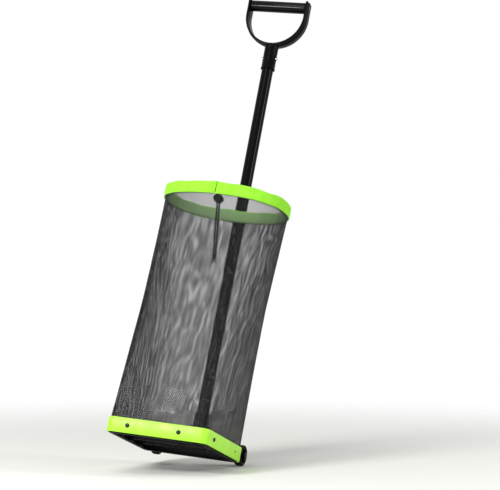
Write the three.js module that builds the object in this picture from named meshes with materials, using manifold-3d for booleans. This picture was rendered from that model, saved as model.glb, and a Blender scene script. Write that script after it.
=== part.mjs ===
import * as THREE from "three";
import { mergeVertices } from "three/addons/utils/BufferGeometryUtils.js";
import Module from "manifold-3d";

// Tennis ball hopper: a mesh bag on a low frame with pick-up springs, a pole with a D grip, and two wheels.
// Millimetres, +Z up, the front towards -Y. It stands upright on the frame's underside and its wheels.

const wasm = await Module();
wasm.setup();

// Fits and cuts
const fit = 0.3; // gap between pieces that touch
const overrun = 2; // how far a cutter passes the faces it cuts

// Lower band, bag hem and frame, from the outside in
const bandWidth = 192; // left to right, outside
const bandDepth = 190; // front to rear, outside
const bandCorner = 14; // outside corner radius
const bandThickness = 2.2;
const bandHeight = 26.4;
const bandLift = 1.6; // the frame stands this much lower than the band
const bagWall = 2; // the mesh cloth and its folds, as a solid
const frameWall = 4.6;
const frameHeight = 25;
const frameEdge = 1; // chamfer of the frame's upper inner edge
const railLedge = 3.2; // inward foot of the frame's wall
const railLedgeHeight = 3;
const sideSteps = 7; // straight steps along each side of an outline
const cornerSteps = 4; // steps round each corner

// Pick-up springs
const springCount = 3;
const springPitch = 45; // front to rear, centre to centre
const springOuter = 9; // outer diameter
const springWire = 1.7;
const springHeight = 9.6; // centre above the ground
const springCurls = 17;
const curlSteps = 8;
const wireSides = 5;
const springTail = 5; // straight wire at each end, held in its lug
const lugLength = 7;
const lugWidth = 12;
const lugLow = 1.4; // underside of the lugs
const lugFloor = 2.4; // material behind the wire in the lug

// Band screws and rivets
const screwHead = 6.6; // diameter
const screwHeadHeight = 1.9;
const screwShank = 3;
const screwLeftX = -54; // the two front screws, from the frame's middle
const screwRightX = 42;
const sideScrewY = -62; // the screw on each side, near the front
const rivetY = 52; // the rivet on each side, near the rear
const rivetHead = 3.6;
const rivetHeadHeight = 0.8;
const rivetShank = 2;
const screwSides = 10;
const holeSides = 6;

// Bag and its mouth
const hemBottom = 444; // height of the top hem's lower edge
const hemHeight = 22;
const mouthWidth = 230; // outside of the hem, left to right
const mouthDepth = 193;
const mouthShiftX = 14; // the bag leans to the right, as a loaded bag does
const mouthClear = 2; // between the hem's rear and the pole
const mouthRoundness = 2.3; // exponent of the mouth's oval, 2 is an ellipse
const mouthSamples = 240;
const hemSkin = 0.9; // webbing thickness
const channelSlack = 0.6; // round the cord in its channel
const netRows = 6; // rows of openings between the band and the hem
const netRib = 15; // height of the cloth left between two rows
const bagInBand = 5; // the bag's lower edge above the band's
const bagInHem = 8; // the bag's upper edge above the hem's
const hemThroat = 9; // height of the sewn part below the cord's channel

// Drawcord and its lock
const cordDiameter = 3.2;
const cordSides = 8;
const innerCordSides = 6; // of the stretch in the hem and the knot's ends
const seamX = 26; // where the cord leaves the hem, from the frame's middle
const cordEndReach = 8.7; // half the gap between the cord's ends in the hem
const windowWidth = 16; // slot in the hem's inner side
const tailDrop = 106; // from the hem's lower edge down to the knot's middle
const tailLeanShares = [0.075, 0.115, -0.99]; // the tails' direction, as the photographed bag hangs
const tailSpacing = 4.2; // centre to centre
const tailOut = 14; // how far in from the channel the tails hang
const tailCurl = 11; // height of the bend out of the hem
const tailBendShares = [
  // across from the straight part to the hem's end, inward, and down
  [1, 0, 0],
  [0.6, 0.03, 0.04],
  [0.28, 0.2, 0.24],
  [0.07, 0.66, 0.6],
];
const tailStraightShares = [0.03, 0.06, 0.3, 0.65, 1]; // places down the straight part
const tailSteps = 20;
const lockDiameter = 15.5;
const lockLength = 14.5;
const lockSlotBack = 2.2; // the cords' slot behind the barrel's middle, towards the button
const lockBore = 11;
const lockFloor = 1.2; // closed end of the bore
const lockLip = 0.5; // chamfer of the bore's mouth
const lockBelowHem = 4; // its centre below the hem's lower edge
const lockRound = 3; // rounding of its two ends
const plungerHead = 13;
const plungerHeadLength = 3.6;
const plungerHeadEdge = 1;
const plungerTravel = 2.6;
const plungerWall = 1.2; // between the cords and the lock's spring
const lockSpringOuter = 7;
const lockSpringWire = 0.5;
const lockSpringCurls = 3;
const lockSides = 16;
const knotWidth = 9.4;
const knotHeight = 10.5;
const knotFlat = 3.2; // its flat top above its middle
const knotEnds = 9; // short ends below the knot
const knotEndsIn = 1.4; // how far they start inside it

// Pole
const poleDiameter = 22;
const poleWall = 1.5;
const poleBack = 15; // its centre behind the band
const poleTopDrop = 3.2; // its top below the D's lowest point
const poleSides = 20;

// Rear bracket: socket, plate and axle lugs in one moulding
const plateShort = 22.4; // the plate's ends inside the band's
const plateHeight = 22;
const plateLow = 3.4;
const plateThickness = 4;
const socketWall = 2.6;
const socketFloor = 25; // underside of the socket, above the axle
const socketBase = 4; // thickness of its floor
const socketTop = 84;
const socketRibHeight = 26; // the webs beside the socket
const socketRibThickness = 3.4;
const socketRibReach = 12;
const axleLugThickness = 8;
const axleLugRadius = 7.5;
const bracketBoltEdge = 22; // the outer bolts from the band's rounded corners
const bracketBoltSpacing = 26; // outer to inner bolt
const bracketBoltHeight = 16;
const bracketBoltShank = 4;
const bracketBoltHead = 8;
const bracketBoltHeadHeight = 2.6;
const bracketNut = 7; // across the flats
const bracketNutHeight = 3;
const poleBoltShank = 5;
const poleBoltHeight = 58;
const poleBoltHead = 8.6;
const poleBoltHeadHeight = 3;

// Wheels and axle
const wheelRadius = 19;
const wheelWidth = 13;
const tyreThickness = 3.6;
const hubRim = 2.4;
const hubWeb = 4;
const hubBoss = 5.6; // radius
const hubHoles = 6;
const hubHoleRadius = 2.1;
const hubHoleSides = 6;
const axleDiameter = 6;
const axleBack = 28; // the axle's centre behind the band
const washerRadius = 5.6;
const washerThickness = 1;
const capRadius = 6;
const capLength = 4;
const capFloor = 1.2;
const wheelSides = 20;

// D grip
const gripWidth = 122; // outside
const gripHeight = 880; // centre of the grip bar
const gripBar = 21.5; // diameter
const yokeDrop = 82.2; // the D's lowest point below the grip bar's centre
const yokeStrip = 4;
const yokeDepth = 26;
const yokeRib = 1.2; // raised rib along the outside
const yokeRibWidth = 9;
const yokeEdge = 1; // rounding of the strip's edges
const yokeCorner = 3; // outer corners of the arms, flush with the grip bar's top
const yokeArc = 13; // steps round the D's lower half
const sleeveOuter = 26;
const sleeveLength = 45.7; // below the D's lowest point
const sleeveLip = 0.7;
const sleeveLipHeight = 3;
const gripRod = 5;
const rodHead = 9;
const rodHeadHeight = 1.5;
const gripChamfer = 1.2;

// Snap buttons of the grip's sleeve
const buttonDrop = 23.2; // their centre below the D's lowest point
const buttonDiameter = 5.6;
const buttonProud = 3.3; // stands out of the sleeve
const buttonFlange = 7.8;
const buttonFlangeHeight = 1;
const buttonTravel = 3.2;
const buttonInner = 6.8; // its inner face, from the pole's axis
const clipWidth = 8;
const clipThickness = 0.8;
const clipDrop = 38; // from the buttons to the bend
const clipRise = 5; // above the buttons
const clipBend = 2.4; // half the gap at the bend

// Loop that holds the hem to the pole
const loopHeight = 18;
const loopThickness = 1.4;
const loopSlack = 0.6; // between the loop and the pole
const loopFlap = 11;
const loopBend = 5; // between the pole's side and the flaps

// Worked out from the sizes above
const halfTurn = Math.PI;
const plateWidth = bandWidth - 2 * plateShort;
const bracketBoltOuter = bandWidth / 2 - bandCorner - bracketBoltEdge;
const bracketBoltInner = bracketBoltOuter - bracketBoltSpacing;
const bracketBoltX = [-bracketBoltOuter, -bracketBoltInner, bracketBoltInner, bracketBoltOuter];
const tailLean = new THREE.Vector3(...tailLeanShares).normalize();
const headShares = { shoulder: 0.45, crown: 0.9, crownRadius: 0.72 }; // of a screw head's height and radius
const capShares = { shoulder: 0.6, face: 0.7 }; // of an axle cap's length and radius
const domeShares = [
  // of a button's radius: across, and down from the tip
  [1, 0.62],
  [0.8, 0.24],
  [0.42, 0.05],
];
const bendShares = [
  // of the clip's bend: across and up
  [0.1, 0],
  [0.45, 0.18],
  [0.8, 0.7],
  [1, 1],
];
const bandTop = bandLift + bandHeight;
const poleY = bandDepth / 2 + poleBack;
const mouthShiftY = poleY - poleDiameter / 2 - mouthClear - mouthDepth / 2;
const axleY = bandDepth / 2 + axleBack;
const hemTop = hemBottom + hemHeight;
const yokeBottom = gripHeight - yokeDrop;
const poleTop = yokeBottom - poleTopDrop;
const sleeveBottom = yokeBottom - sleeveLength;
const buttonHeight = yokeBottom - buttonDrop;
const hemThickness = cordDiameter + 2 * channelSlack + 2 * hemSkin;
const cordInset = hemThickness / 2;
const bagInset = bandThickness + fit; // outside of the bag, inside the band
const frameInset = bagInset + bagWall + fit;
const frameInner = frameInset + frameWall;
const frameInnerHalf = bandWidth / 2 - frameInner;
const bracketFace = bandDepth / 2 + fit; // front face of the rear plate
const lugOuterX = plateWidth / 2;
const headReach = fit + screwHeadHeight;
const leftReach = Math.max(bandWidth / 2 + headReach, mouthWidth / 2 - mouthShiftX);
const rightReach = Math.max(bandWidth / 2 + headReach, mouthWidth / 2 + mouthShiftX);
const frontReach = Math.max(bandDepth / 2 + headReach, mouthDepth / 2 - mouthShiftY);
const rearReach = axleY + wheelRadius;

// Materials
function finish(color, roughness, metalness = 0) {
  return new THREE.MeshStandardMaterial({ color, roughness, metalness });
}
const blackPlastic = finish(0x121314, 0.32);
const blackMoulding = finish(0x191a1b, 0.55);
const greenBand = finish(0x9dff3c, 0.5);
const greenWebbing = finish(0x6df51a, 0.8);
const blackMesh = finish(0x222224, 0.85);
const blackSteel = finish(0x0f1011, 0.35, 0.3);
const blackScrew = finish(0x1a1b1d, 0.4, 0.6);
const brightSteel = finish(0xc9cbce, 0.25, 1);
const springSteel = finish(0x1c1d1f, 0.4, 0.7);
const blackCord = finish(0x111112, 0.85);
const blackRubber = finish(0x141415, 0.75);

// Solids and meshes
function toSolid(geometry) {
  const bare = geometry.clone();
  bare.deleteAttribute("normal");
  bare.deleteAttribute("uv");
  const merged = mergeVertices(bare, 1e-4);
  return new wasm.Manifold(
    new wasm.Mesh({
      numProp: 3,
      vertProperties: new Float32Array(merged.attributes.position.array),
      triVerts: new Uint32Array(merged.index.array),
    }),
  );
}

function toGeometry(solid) {
  const mesh = solid.getMesh();
  const geometry = new THREE.BufferGeometry();
  geometry.setAttribute("position", new THREE.BufferAttribute(mesh.vertProperties, 3));
  geometry.setIndex(new THREE.BufferAttribute(mesh.triVerts, 1));
  geometry.computeVertexNormals();
  return geometry;
}

function joined(...geometries) {
  return geometries.map(toSolid).reduce((whole, piece) => whole.add(piece));
}

function cut(solid, ...geometries) {
  return geometries.reduce((rest, tool) => rest.subtract(toSolid(tool)), solid);
}

function addMesh(parent, name, shape, material) {
  const mesh = new THREE.Mesh(shape.isBufferGeometry ? shape : toGeometry(shape), material);
  mesh.name = name;
  parent.add(mesh);
  return mesh;
}

// Geometry helpers, each along +Z unless it says otherwise
function box(width, depth, height, x, y, z) {
  return new THREE.BoxGeometry(width, depth, height).translate(x, y, z);
}

function rod(radius, length, sides) {
  return new THREE.CylinderGeometry(radius, radius, length, sides).rotateX(halfTurn / 2);
}

function turned(profile, sides) {
  const points = profile.map(([radius, height]) => new THREE.Vector2(radius, height));
  return new THREE.LatheGeometry(points, sides).rotateX(halfTurn / 2);
}

function plate(shape, thickness, curveSegments) {
  return new THREE.ExtrudeGeometry(shape, { depth: thickness, bevelEnabled: false, curveSegments });
}

// A rounded rectangle, inset from the band's outside, as points with the same angles at every inset.
function baseOutline(inset) {
  const halfWidth = bandWidth / 2 - inset;
  const halfDepth = bandDepth / 2 - inset;
  const radius = Math.max(bandCorner - inset, fit);
  const corners = [
    [halfWidth - radius, radius - halfDepth, -halfTurn / 2],
    [halfWidth - radius, halfDepth - radius, 0],
    [radius - halfWidth, halfDepth - radius, halfTurn / 2],
    [radius - halfWidth, radius - halfDepth, halfTurn],
  ];
  const points = [];
  corners.forEach(([x, y, start], index) => {
    for (let step = 0; step <= cornerSteps; step += 1) {
      const angle = start + ((halfTurn / 2) * step) / cornerSteps;
      points.push(new THREE.Vector2(x + radius * Math.cos(angle), y + radius * Math.sin(angle)));
    }
    const [nextX, nextY, nextStart] = corners[(index + 1) % corners.length];
    const from = points[points.length - 1];
    const to = new THREE.Vector2(
      nextX + radius * Math.cos(nextStart),
      nextY + radius * Math.sin(nextStart),
    );
    for (let step = 1; step < sideSteps; step += 1) {
      points.push(from.clone().lerp(to, step / sideSteps));
    }
  });
  return points;
}

// The oval of the mouth at an angle from +X, moved in square to its edge by an inset.
function mouthPoint(inset, angle) {
  const halfWidth = mouthWidth / 2;
  const halfDepth = mouthDepth / 2;
  const power = 2 / mouthRoundness;
  const c = Math.cos(angle);
  const s = Math.sin(angle);
  const across = Math.sign(c) * Math.abs(c) ** power;
  const along = Math.sign(s) * Math.abs(s) ** power;
  const outward = new THREE.Vector2(
    (Math.sign(across) * Math.abs(across) ** (mouthRoundness - 1)) / halfWidth,
    (Math.sign(along) * Math.abs(along) ** (mouthRoundness - 1)) / halfDepth,
  ).normalize();
  const edge = new THREE.Vector2(mouthShiftX + halfWidth * across, mouthShiftY + halfDepth * along);
  return edge.addScaledVector(outward, -inset);
}

// The angle of the mouth's point at a place across, on its rear side, or with a minus sign its front.
function mouthAngle(x) {
  const share = (x - mouthShiftX) / (mouthWidth / 2);
  return Math.acos(Math.sign(share) * Math.abs(share) ** (mouthRoundness / 2));
}

// Angles on the mouth that share its edge out as the base outline's points share theirs.
function mouthAngles() {
  const base = baseOutline(0);
  const reach = [0];
  base.forEach((point, index) => {
    reach.push(reach[index] + point.distanceTo(base[(index + 1) % base.length]));
  });
  const start = -halfTurn / 2;
  const samples = [];
  const walked = [0];
  for (let step = 0; step <= mouthSamples; step += 1) {
    samples.push(start + (2 * halfTurn * step) / mouthSamples);
    if (step) {
      const move = mouthPoint(0, samples[step]).distanceTo(mouthPoint(0, samples[step - 1]));
      walked.push(walked[step - 1] + move);
    }
  }
  const around = reach[base.length];
  const frontMiddle = (reach[base.length - sideSteps] + reach[base.length]) / 2;
  return base.map((point, index) => {
    const share = (((reach[index] - frontMiddle) / around) % 1 + 1) % 1;
    const target = share * walked[mouthSamples];
    const above = Math.max(1, walked.findIndex((length) => length >= target));
    const part = (target - walked[above - 1]) / (walked[above] - walked[above - 1]);
    return samples[above - 1] + part * (samples[above] - samples[above - 1]);
  });
}
const ringAngles = mouthAngles();

function mouthOutline(inset) {
  return ringAngles.map((angle) => mouthPoint(inset, angle));
}

function atHeight(points, height) {
  return points.map((point) => new THREE.Vector3(point.x, point.y, height));
}

// Closed rings joined one to the next, and the last to the first, as the skin of a hoop-shaped solid.
function hoop(rings) {
  const count = rings[0].length;
  const positions = rings.flat().flatMap((point) => point.toArray());
  const index = [];
  rings.forEach((ring, r) => {
    const next = (r + 1) % rings.length;
    for (let i = 0; i < count; i += 1) {
      const j = (i + 1) % count;
      const a = r * count + i;
      const b = r * count + j;
      const c = next * count + j;
      const d = next * count + i;
      index.push(a, b, c, a, c, d);
    }
  });
  const geometry = new THREE.BufferGeometry();
  geometry.setAttribute("position", new THREE.Float32BufferAttribute(positions, 3));
  geometry.setIndex(index);
  return geometry;
}

// A round wire or cord with one section at each point and flat ends.
function wireAlong(points, radius, sides) {
  const positions = [];
  const index = [];
  const side = new THREE.Vector3();
  const up = new THREE.Vector3();
  points.forEach((point, i) => {
    const before = points[Math.max(i - 1, 0)];
    const after = points[Math.min(i + 1, points.length - 1)];
    const forward = after.clone().sub(before).normalize();
    if (i === 0) {
      side.set(0, 0, 1).cross(forward).normalize();
    } else {
      side.addScaledVector(forward, -side.dot(forward)).normalize();
    }
    up.crossVectors(forward, side);
    for (let s = 0; s < sides; s += 1) {
      const angle = (2 * halfTurn * s) / sides;
      const spot = point.clone();
      spot.addScaledVector(side, radius * Math.cos(angle));
      spot.addScaledVector(up, radius * Math.sin(angle));
      positions.push(...spot.toArray());
    }
  });
  for (let i = 0; i + 1 < points.length; i += 1) {
    for (let s = 0; s < sides; s += 1) {
      const a = i * sides + s;
      const b = i * sides + ((s + 1) % sides);
      index.push(a, b, b + sides, a, b + sides, a + sides);
    }
  }
  const last = (points.length - 1) * sides;
  for (let s = 1; s + 1 < sides; s += 1) {
    index.push(0, s + 1, s, last, last + s, last + s + 1);
  }
  const geometry = new THREE.BufferGeometry();
  geometry.setAttribute("position", new THREE.Float32BufferAttribute(positions, 3));
  geometry.setIndex(index);
  return geometry;
}

// Points of a coil along +X, from its middle: straight ends on its axis and open curls between them.
function coilPoints(length, tail, radius, curls) {
  const points = [new THREE.Vector3(-length / 2, 0, 0), new THREE.Vector3(tail - length / 2, 0, 0)];
  const run = length - 2 * tail;
  const steps = curls * curlSteps;
  for (let step = 1; step < steps; step += 1) {
    const angle = (2 * halfTurn * step) / curlSteps;
    const ease = Math.min(1, (2 * step) / curlSteps, (2 * (steps - step)) / curlSteps);
    const x = tail - length / 2 + (run * step) / steps;
    points.push(new THREE.Vector3(x, radius * ease * Math.sin(angle), -radius * ease * Math.cos(angle)));
  }
  points.push(new THREE.Vector3(length / 2 - tail, 0, 0), new THREE.Vector3(length / 2, 0, 0));
  return points;
}

// The least gap between a wire's own turns, measured between points at least half a curl apart.
function selfGap(points, wire) {
  let least = Infinity;
  points.forEach((point, i) => {
    for (let j = i + curlSteps / 2; j < points.length; j += 1) {
      least = Math.min(least, point.distanceTo(points[j]) - wire);
    }
  });
  return least;
}

// A flat strip of even thickness along a line of points, as an outline.
function stripShape(points, thickness) {
  const sides = [1, -1].map((sign) =>
    points.map((point, i) => {
      const before = points[Math.max(i - 1, 0)];
      const after = points[Math.min(i + 1, points.length - 1)];
      const along = after.clone().sub(before).normalize();
      const across = new THREE.Vector2(-along.y, along.x);
      return point.clone().addScaledVector(across, (sign * thickness) / 2);
    }),
  );
  return new THREE.Shape([...sides[1], ...sides[0].reverse()]);
}

// Holes for the fasteners that pass through the band, the bag's edge and the frame's wall.
const wallStack = frameInner + overrun;

function wallHole(shank, x, y, z, acrossX) {
  const radius = (shank / 2 + fit) / Math.cos(halfTurn / holeSides);
  const tool = rod(radius, 2 * wallStack, holeSides);
  if (acrossX) {
    tool.rotateY(halfTurn / 2);
  } else {
    tool.rotateX(halfTurn / 2);
  }
  return tool.translate(x, y, z);
}

const bandMiddle = bandLift + bandHeight / 2;
const frontScrews = [
  ["band_screw_front_left", screwLeftX],
  ["band_screw_front_right", screwRightX],
];
const sideNames = [
  ["left", -1],
  ["right", 1],
];

function fastenerHoles() {
  const holes = frontScrews.map(([, x]) => wallHole(screwShank, x, -bandDepth / 2, bandMiddle, false));
  for (const [, sign] of sideNames) {
    holes.push(wallHole(screwShank, (sign * bandWidth) / 2, sideScrewY, bandMiddle, true));
    holes.push(wallHole(rivetShank, (sign * bandWidth) / 2, rivetY, bandMiddle, true));
  }
  for (const x of bracketBoltX) {
    holes.push(wallHole(bracketBoltShank, x, bandDepth / 2, bracketBoltHeight, false));
  }
  return holes;
}

// Lower frame: a moulded ring with an inward foot, a chamfered upper edge and a lug for each spring end.
const springYs = Array.from({ length: springCount }, (_, i) => (i - (springCount - 1) / 2) * springPitch);

function baseFrame() {
  const ring = hoop([
    atHeight(baseOutline(frameInset), frameHeight),
    atHeight(baseOutline(frameInner - frameEdge), frameHeight),
    atHeight(baseOutline(frameInner), frameHeight - frameEdge),
    atHeight(baseOutline(frameInner), railLedgeHeight + railLedge / 2),
    atHeight(baseOutline(frameInner + railLedge), railLedgeHeight),
    atHeight(baseOutline(frameInner + railLedge), 0),
    atHeight(baseOutline(frameInset), 0),
  ]);
  let solid = toSolid(ring);
  for (const [, sign] of sideNames) {
    for (const y of springYs) {
      const profile = new THREE.Shape();
      profile.moveTo(-lugWidth / 2, lugLow);
      profile.lineTo(lugWidth / 2, lugLow);
      profile.lineTo(lugWidth / 2, springHeight);
      profile.absarc(0, springHeight, lugWidth / 2, 0, halfTurn, false);
      const lug = plate(profile, lugLength + frameWall / 2, cornerSteps)
        .rotateX(halfTurn / 2)
        .rotateZ(halfTurn / 2)
        .translate(frameInnerHalf - lugLength, y, 0);
      const boreRadius = (springWire / 2 + fit) / Math.cos(halfTurn / holeSides);
      const bore = rod(boreRadius, lugLength, holeSides)
        .rotateY(halfTurn / 2)
        .translate(frameInnerHalf - lugLength / 2 - lugFloor, y, springHeight);
      if (sign < 0) {
        lug.rotateZ(halfTurn).translate(0, 2 * y, 0);
        bore.rotateZ(halfTurn).translate(0, 2 * y, 0);
      }
      solid = cut(solid.add(toSolid(lug)), bore);
    }
  }
  return cut(solid, ...fastenerHoles());
}

function lowerBand() {
  const ring = hoop([
    atHeight(baseOutline(0), bandLift),
    atHeight(baseOutline(0), bandTop),
    atHeight(baseOutline(bandThickness), bandTop),
    atHeight(baseOutline(bandThickness), bandLift),
  ]);
  return cut(toSolid(ring), ...fastenerHoles());
}

// Bag: one tube of net from inside the band to inside the top hem, open in a grid of cells.
const netPitch = (hemBottom - bandTop) / netRows;

function bagRings(inset, upInset) {
  const low = baseOutline(inset);
  const high = mouthOutline(upInset);
  const rings = [atHeight(low, bandLift + bagInBand), atHeight(low, bandTop)];
  for (let row = 0; row < netRows; row += 1) {
    for (const rise of [row * netPitch + netRib / 2, (row + 1) * netPitch - netRib / 2]) {
      const blend = low.map((point, i) => point.clone().lerp(high[i], rise / (hemBottom - bandTop)));
      rings.push(atHeight(blend, bandTop + rise));
    }
  }
  rings.push(atHeight(high, hemBottom), atHeight(high, hemBottom + bagInHem));
  return rings;
}

// Whether the net is cloth at a level and a step round it: each corner and every second step of a side is open.
function isCloth(level, step) {
  const place = step % (cornerSteps + sideSteps);
  const openStep = place < cornerSteps || (place - cornerSteps) % 2 === 1;
  const inRows = level >= 2 && level <= 2 * netRows;
  return !(openStep && inRows && level % 2 === 0);
}

// A wall between outer and inner rings, with faces only where cloth meets the open.
function piercedWall(outer, inner) {
  const count = outer[0].length;
  const levels = outer.length - 1;
  const cloth = (level, i) => level >= 0 && level < levels && isCloth(level, (i + count) % count);
  const out = (level, i) => level * count + (i % count);
  const into = (level, i) => outer.length * count + level * count + (i % count);
  const index = [];
  const quad = (a, b, c, d) => index.push(a, b, c, a, c, d);
  for (let level = 0; level <= levels; level += 1) {
    for (let i = 0; i < count; i += 1) {
      if (cloth(level, i)) {
        quad(out(level, i), out(level, i + 1), out(level + 1, i + 1), out(level + 1, i));
        quad(into(level, i), into(level + 1, i), into(level + 1, i + 1), into(level, i + 1));
      }
      if (cloth(level - 1, i) && !cloth(level, i)) {
        quad(out(level, i), out(level, i + 1), into(level, i + 1), into(level, i));
      } else if (!cloth(level - 1, i) && cloth(level, i)) {
        quad(out(level, i), into(level, i), into(level, i + 1), out(level, i + 1));
      }
      if (cloth(level, i - 1) && !cloth(level, i)) {
        quad(out(level, i), into(level, i), into(level + 1, i), out(level + 1, i));
      } else if (!cloth(level, i - 1) && cloth(level, i)) {
        quad(out(level, i), out(level + 1, i), into(level + 1, i), into(level, i));
      }
    }
  }
  const positions = [...outer, ...inner].flat().flatMap((point) => point.toArray());
  const geometry = new THREE.BufferGeometry();
  geometry.setAttribute("position", new THREE.Float32BufferAttribute(positions, 3));
  geometry.setIndex(index);
  return geometry;
}

function meshBag() {
  const outerInset = cordInset - bagWall / 2;
  const outer = bagRings(bagInset, outerInset);
  const inner = bagRings(bagInset + bagWall, outerInset + bagWall);
  return cut(toSolid(piercedWall(outer, inner)), ...fastenerHoles());
}

// Top hem: webbing folded over the bag's edge, with a channel for the drawcord and a slot where it comes out.
const channelInset = hemSkin;
const throatInset = cordInset - bagWall / 2 - fit;
const cordHeight = hemTop - hemSkin - channelSlack - cordDiameter / 2;

// The middle of the cord's channel at a place across, on the front side.
function channelSpot(x) {
  const point = mouthPoint(cordInset, -mouthAngle(x));
  return new THREE.Vector3(point.x, point.y, cordHeight);
}
const seamPoint = channelSpot(seamX);

function topHem() {
  const low = hemBottom;
  const throat = hemBottom + hemThroat;
  const roof = hemTop - hemSkin;
  const section = [
    [0, low],
    [0, hemTop],
    [hemThickness, hemTop],
    [hemThickness, low],
    [hemThickness - throatInset, low],
    [hemThickness - throatInset, throat],
    [hemThickness - channelInset, throat],
    [hemThickness - channelInset, roof],
    [channelInset, roof],
    [channelInset, throat],
    [throatInset, throat],
    [throatInset, low],
  ];
  const solid = toSolid(hoop(section.map(([inset, z]) => atHeight(mouthOutline(inset), z))));
  const windowTop = cordHeight + cordDiameter / 2 + fit;
  const windowBottom = hemBottom - overrun;
  const window = box(
    windowWidth,
    hemThickness,
    windowTop - windowBottom,
    seamX,
    seamPoint.y + hemThickness / 2 + fit,
    (windowTop + windowBottom) / 2,
  );
  return cut(solid, window);
}

// Drawcord: one stretch held in the hem, and two tails that hang inside the bag to a knot.
function drawcordInHem() {
  const from = -mouthAngle(seamX + cordEndReach);
  const turnTo = (angle) => (((angle - from) % (2 * halfTurn)) + 2 * halfTurn) % (2 * halfTurn);
  const whole = turnTo(-mouthAngle(seamX - cordEndReach));
  const margin = cordEndReach / mouthWidth;
  const inOrder = ringAngles
    .map(turnTo)
    .filter((turn) => turn > margin && turn < whole - margin)
    .sort((a, b) => a - b);
  const loop = [0, ...inOrder, whole].map((turn) => {
    const point = mouthPoint(cordInset, from + turn);
    return new THREE.Vector3(point.x, point.y, cordHeight);
  });
  return wireAlong(loop, cordDiameter / 2, innerCordSides);
}

// Directions of what hangs along the tails: up them, into the bag, and across.
const hangUp = tailLean.clone().negate();
const hangIn = new THREE.Vector3(0, 1, 0);
hangIn.addScaledVector(hangUp, -hangIn.dot(hangUp)).normalize();
const hangAcross = new THREE.Vector3().crossVectors(hangIn, hangUp);

// A place on the tails' middle line, at a distance below the hem's lower edge.
const tailFoot = seamPoint.clone().add(new THREE.Vector3(0, tailOut, -tailCurl));

function tailSpot(distance) {
  const drop = (tailFoot.z - hemBottom + distance) / -tailLean.z;
  return tailFoot.clone().addScaledVector(tailLean, drop);
}

function tailRoute(side) {
  const half = tailSpacing / 2;
  const aside = hangAcross.clone().multiplyScalar(side * half);
  const foot = tailFoot.clone().add(aside);
  const end = tailSpot(tailDrop).add(aside).addScaledVector(tailLean, -knotFlat - fit);
  const bend = tailBendShares.map(([across, inward, down]) => {
    const start = channelSpot(seamX + side * (half + across * (cordEndReach - 2 * fit - half)));
    return start.add(new THREE.Vector3(0, inward * tailOut, -down * tailCurl));
  });
  const straight = tailStraightShares.map((share) => foot.clone().lerp(end, share));
  return new THREE.CatmullRomCurve3([...bend, foot, ...straight], false, "centripetal");
}

function drawcordTail(side) {
  const section = new THREE.Shape();
  section.absarc(0, 0, cordDiameter / 2, 0, 2 * halfTurn, false);
  return new THREE.ExtrudeGeometry(section, {
    extrudePath: tailRoute(side),
    steps: tailSteps,
    curveSegments: cordSides / 2,
    bevelEnabled: false,
  });
}

// A group on the tails' line whose local Z runs up them and whose local Y points into the bag.
function hangAt(spot) {
  const group = new THREE.Group();
  group.setRotationFromMatrix(new THREE.Matrix4().makeBasis(hangAcross, hangIn, hangUp));
  group.position.copy(spot);
  return group;
}

function drawcordKnot() {
  const ball = new THREE.SphereGeometry(knotWidth / 2, screwSides, screwSides / 2);
  ball.rotateX(halfTurn / 2).scale(1, 1, knotHeight / knotWidth);
  const ends = [-1, 1].map((side) =>
    rod(cordDiameter / 2, knotEnds, innerCordSides)
      .rotateY((side * halfTurn) / 16)
      .translate((side * tailSpacing) / 2, 0, knotEndsIn - (knotHeight + knotEnds) / 2),
  );
  const flat = box(2 * knotWidth, 2 * knotWidth, knotHeight, 0, 0, knotFlat + knotHeight / 2);
  return cut(joined(ball, ...ends), flat);
}

// Cord lock: a barrel across the tails, with a sprung plunger that pinches them.
const cordSlotX = tailSpacing + cordDiameter + 2 * fit;
const cordSlotY = cordDiameter + 2 * fit;

const lockNear = lockLength / 2 - lockSlotBack; // its mouth and closed end, from the slot
const lockFar = -lockLength / 2 - lockSlotBack;
const springSeat = lockFar + lockFloor;

function cordLockBody() {
  const radius = lockDiameter / 2;
  const profile = [[0, lockFar]];
  for (let step = 0; step <= 3; step += 1) {
    const angle = (halfTurn / 2) * (step / 3 - 1);
    profile.push([
      radius - lockRound + lockRound * Math.cos(angle),
      lockFar + lockRound + lockRound * Math.sin(angle),
    ]);
  }
  for (let step = 0; step <= 2; step += 1) {
    const angle = (halfTurn / 2) * (step / 3);
    profile.push([
      radius - lockRound + lockRound * Math.cos(angle),
      lockNear - lockRound + lockRound * Math.sin(angle),
    ]);
  }
  profile.push([lockBore / 2 + lockLip, lockNear]);
  profile.push([lockBore / 2, lockNear - lockLip]);
  profile.push([lockBore / 2, springSeat]);
  profile.push([0, springSeat]);
  const barrel = turned(profile, lockSides).rotateX(-halfTurn / 2);
  return cut(toSolid(barrel), box(cordSlotX, cordSlotY, 2 * lockDiameter, 0, 0, 0));
}

const plungerInner = -cordSlotY / 2 - plungerWall;

function cordLockPlunger() {
  const stem = lockBore / 2 - fit;
  const head = plungerHead / 2;
  const rise = lockNear + fit + plungerTravel;
  const tip = rise + plungerHeadLength;
  const profile = [
    [0, plungerInner],
    [stem, plungerInner],
    [stem, rise],
    [head, rise],
    [head, tip - plungerHeadEdge],
    [head - plungerHeadEdge, tip],
    [0, tip],
  ];
  const slot = box(cordSlotX, cordSlotY + plungerTravel, 2 * lockDiameter, 0, plungerTravel / 2, 0);
  return cut(toSolid(turned(profile, lockSides).rotateX(-halfTurn / 2)), slot);
}

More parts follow.
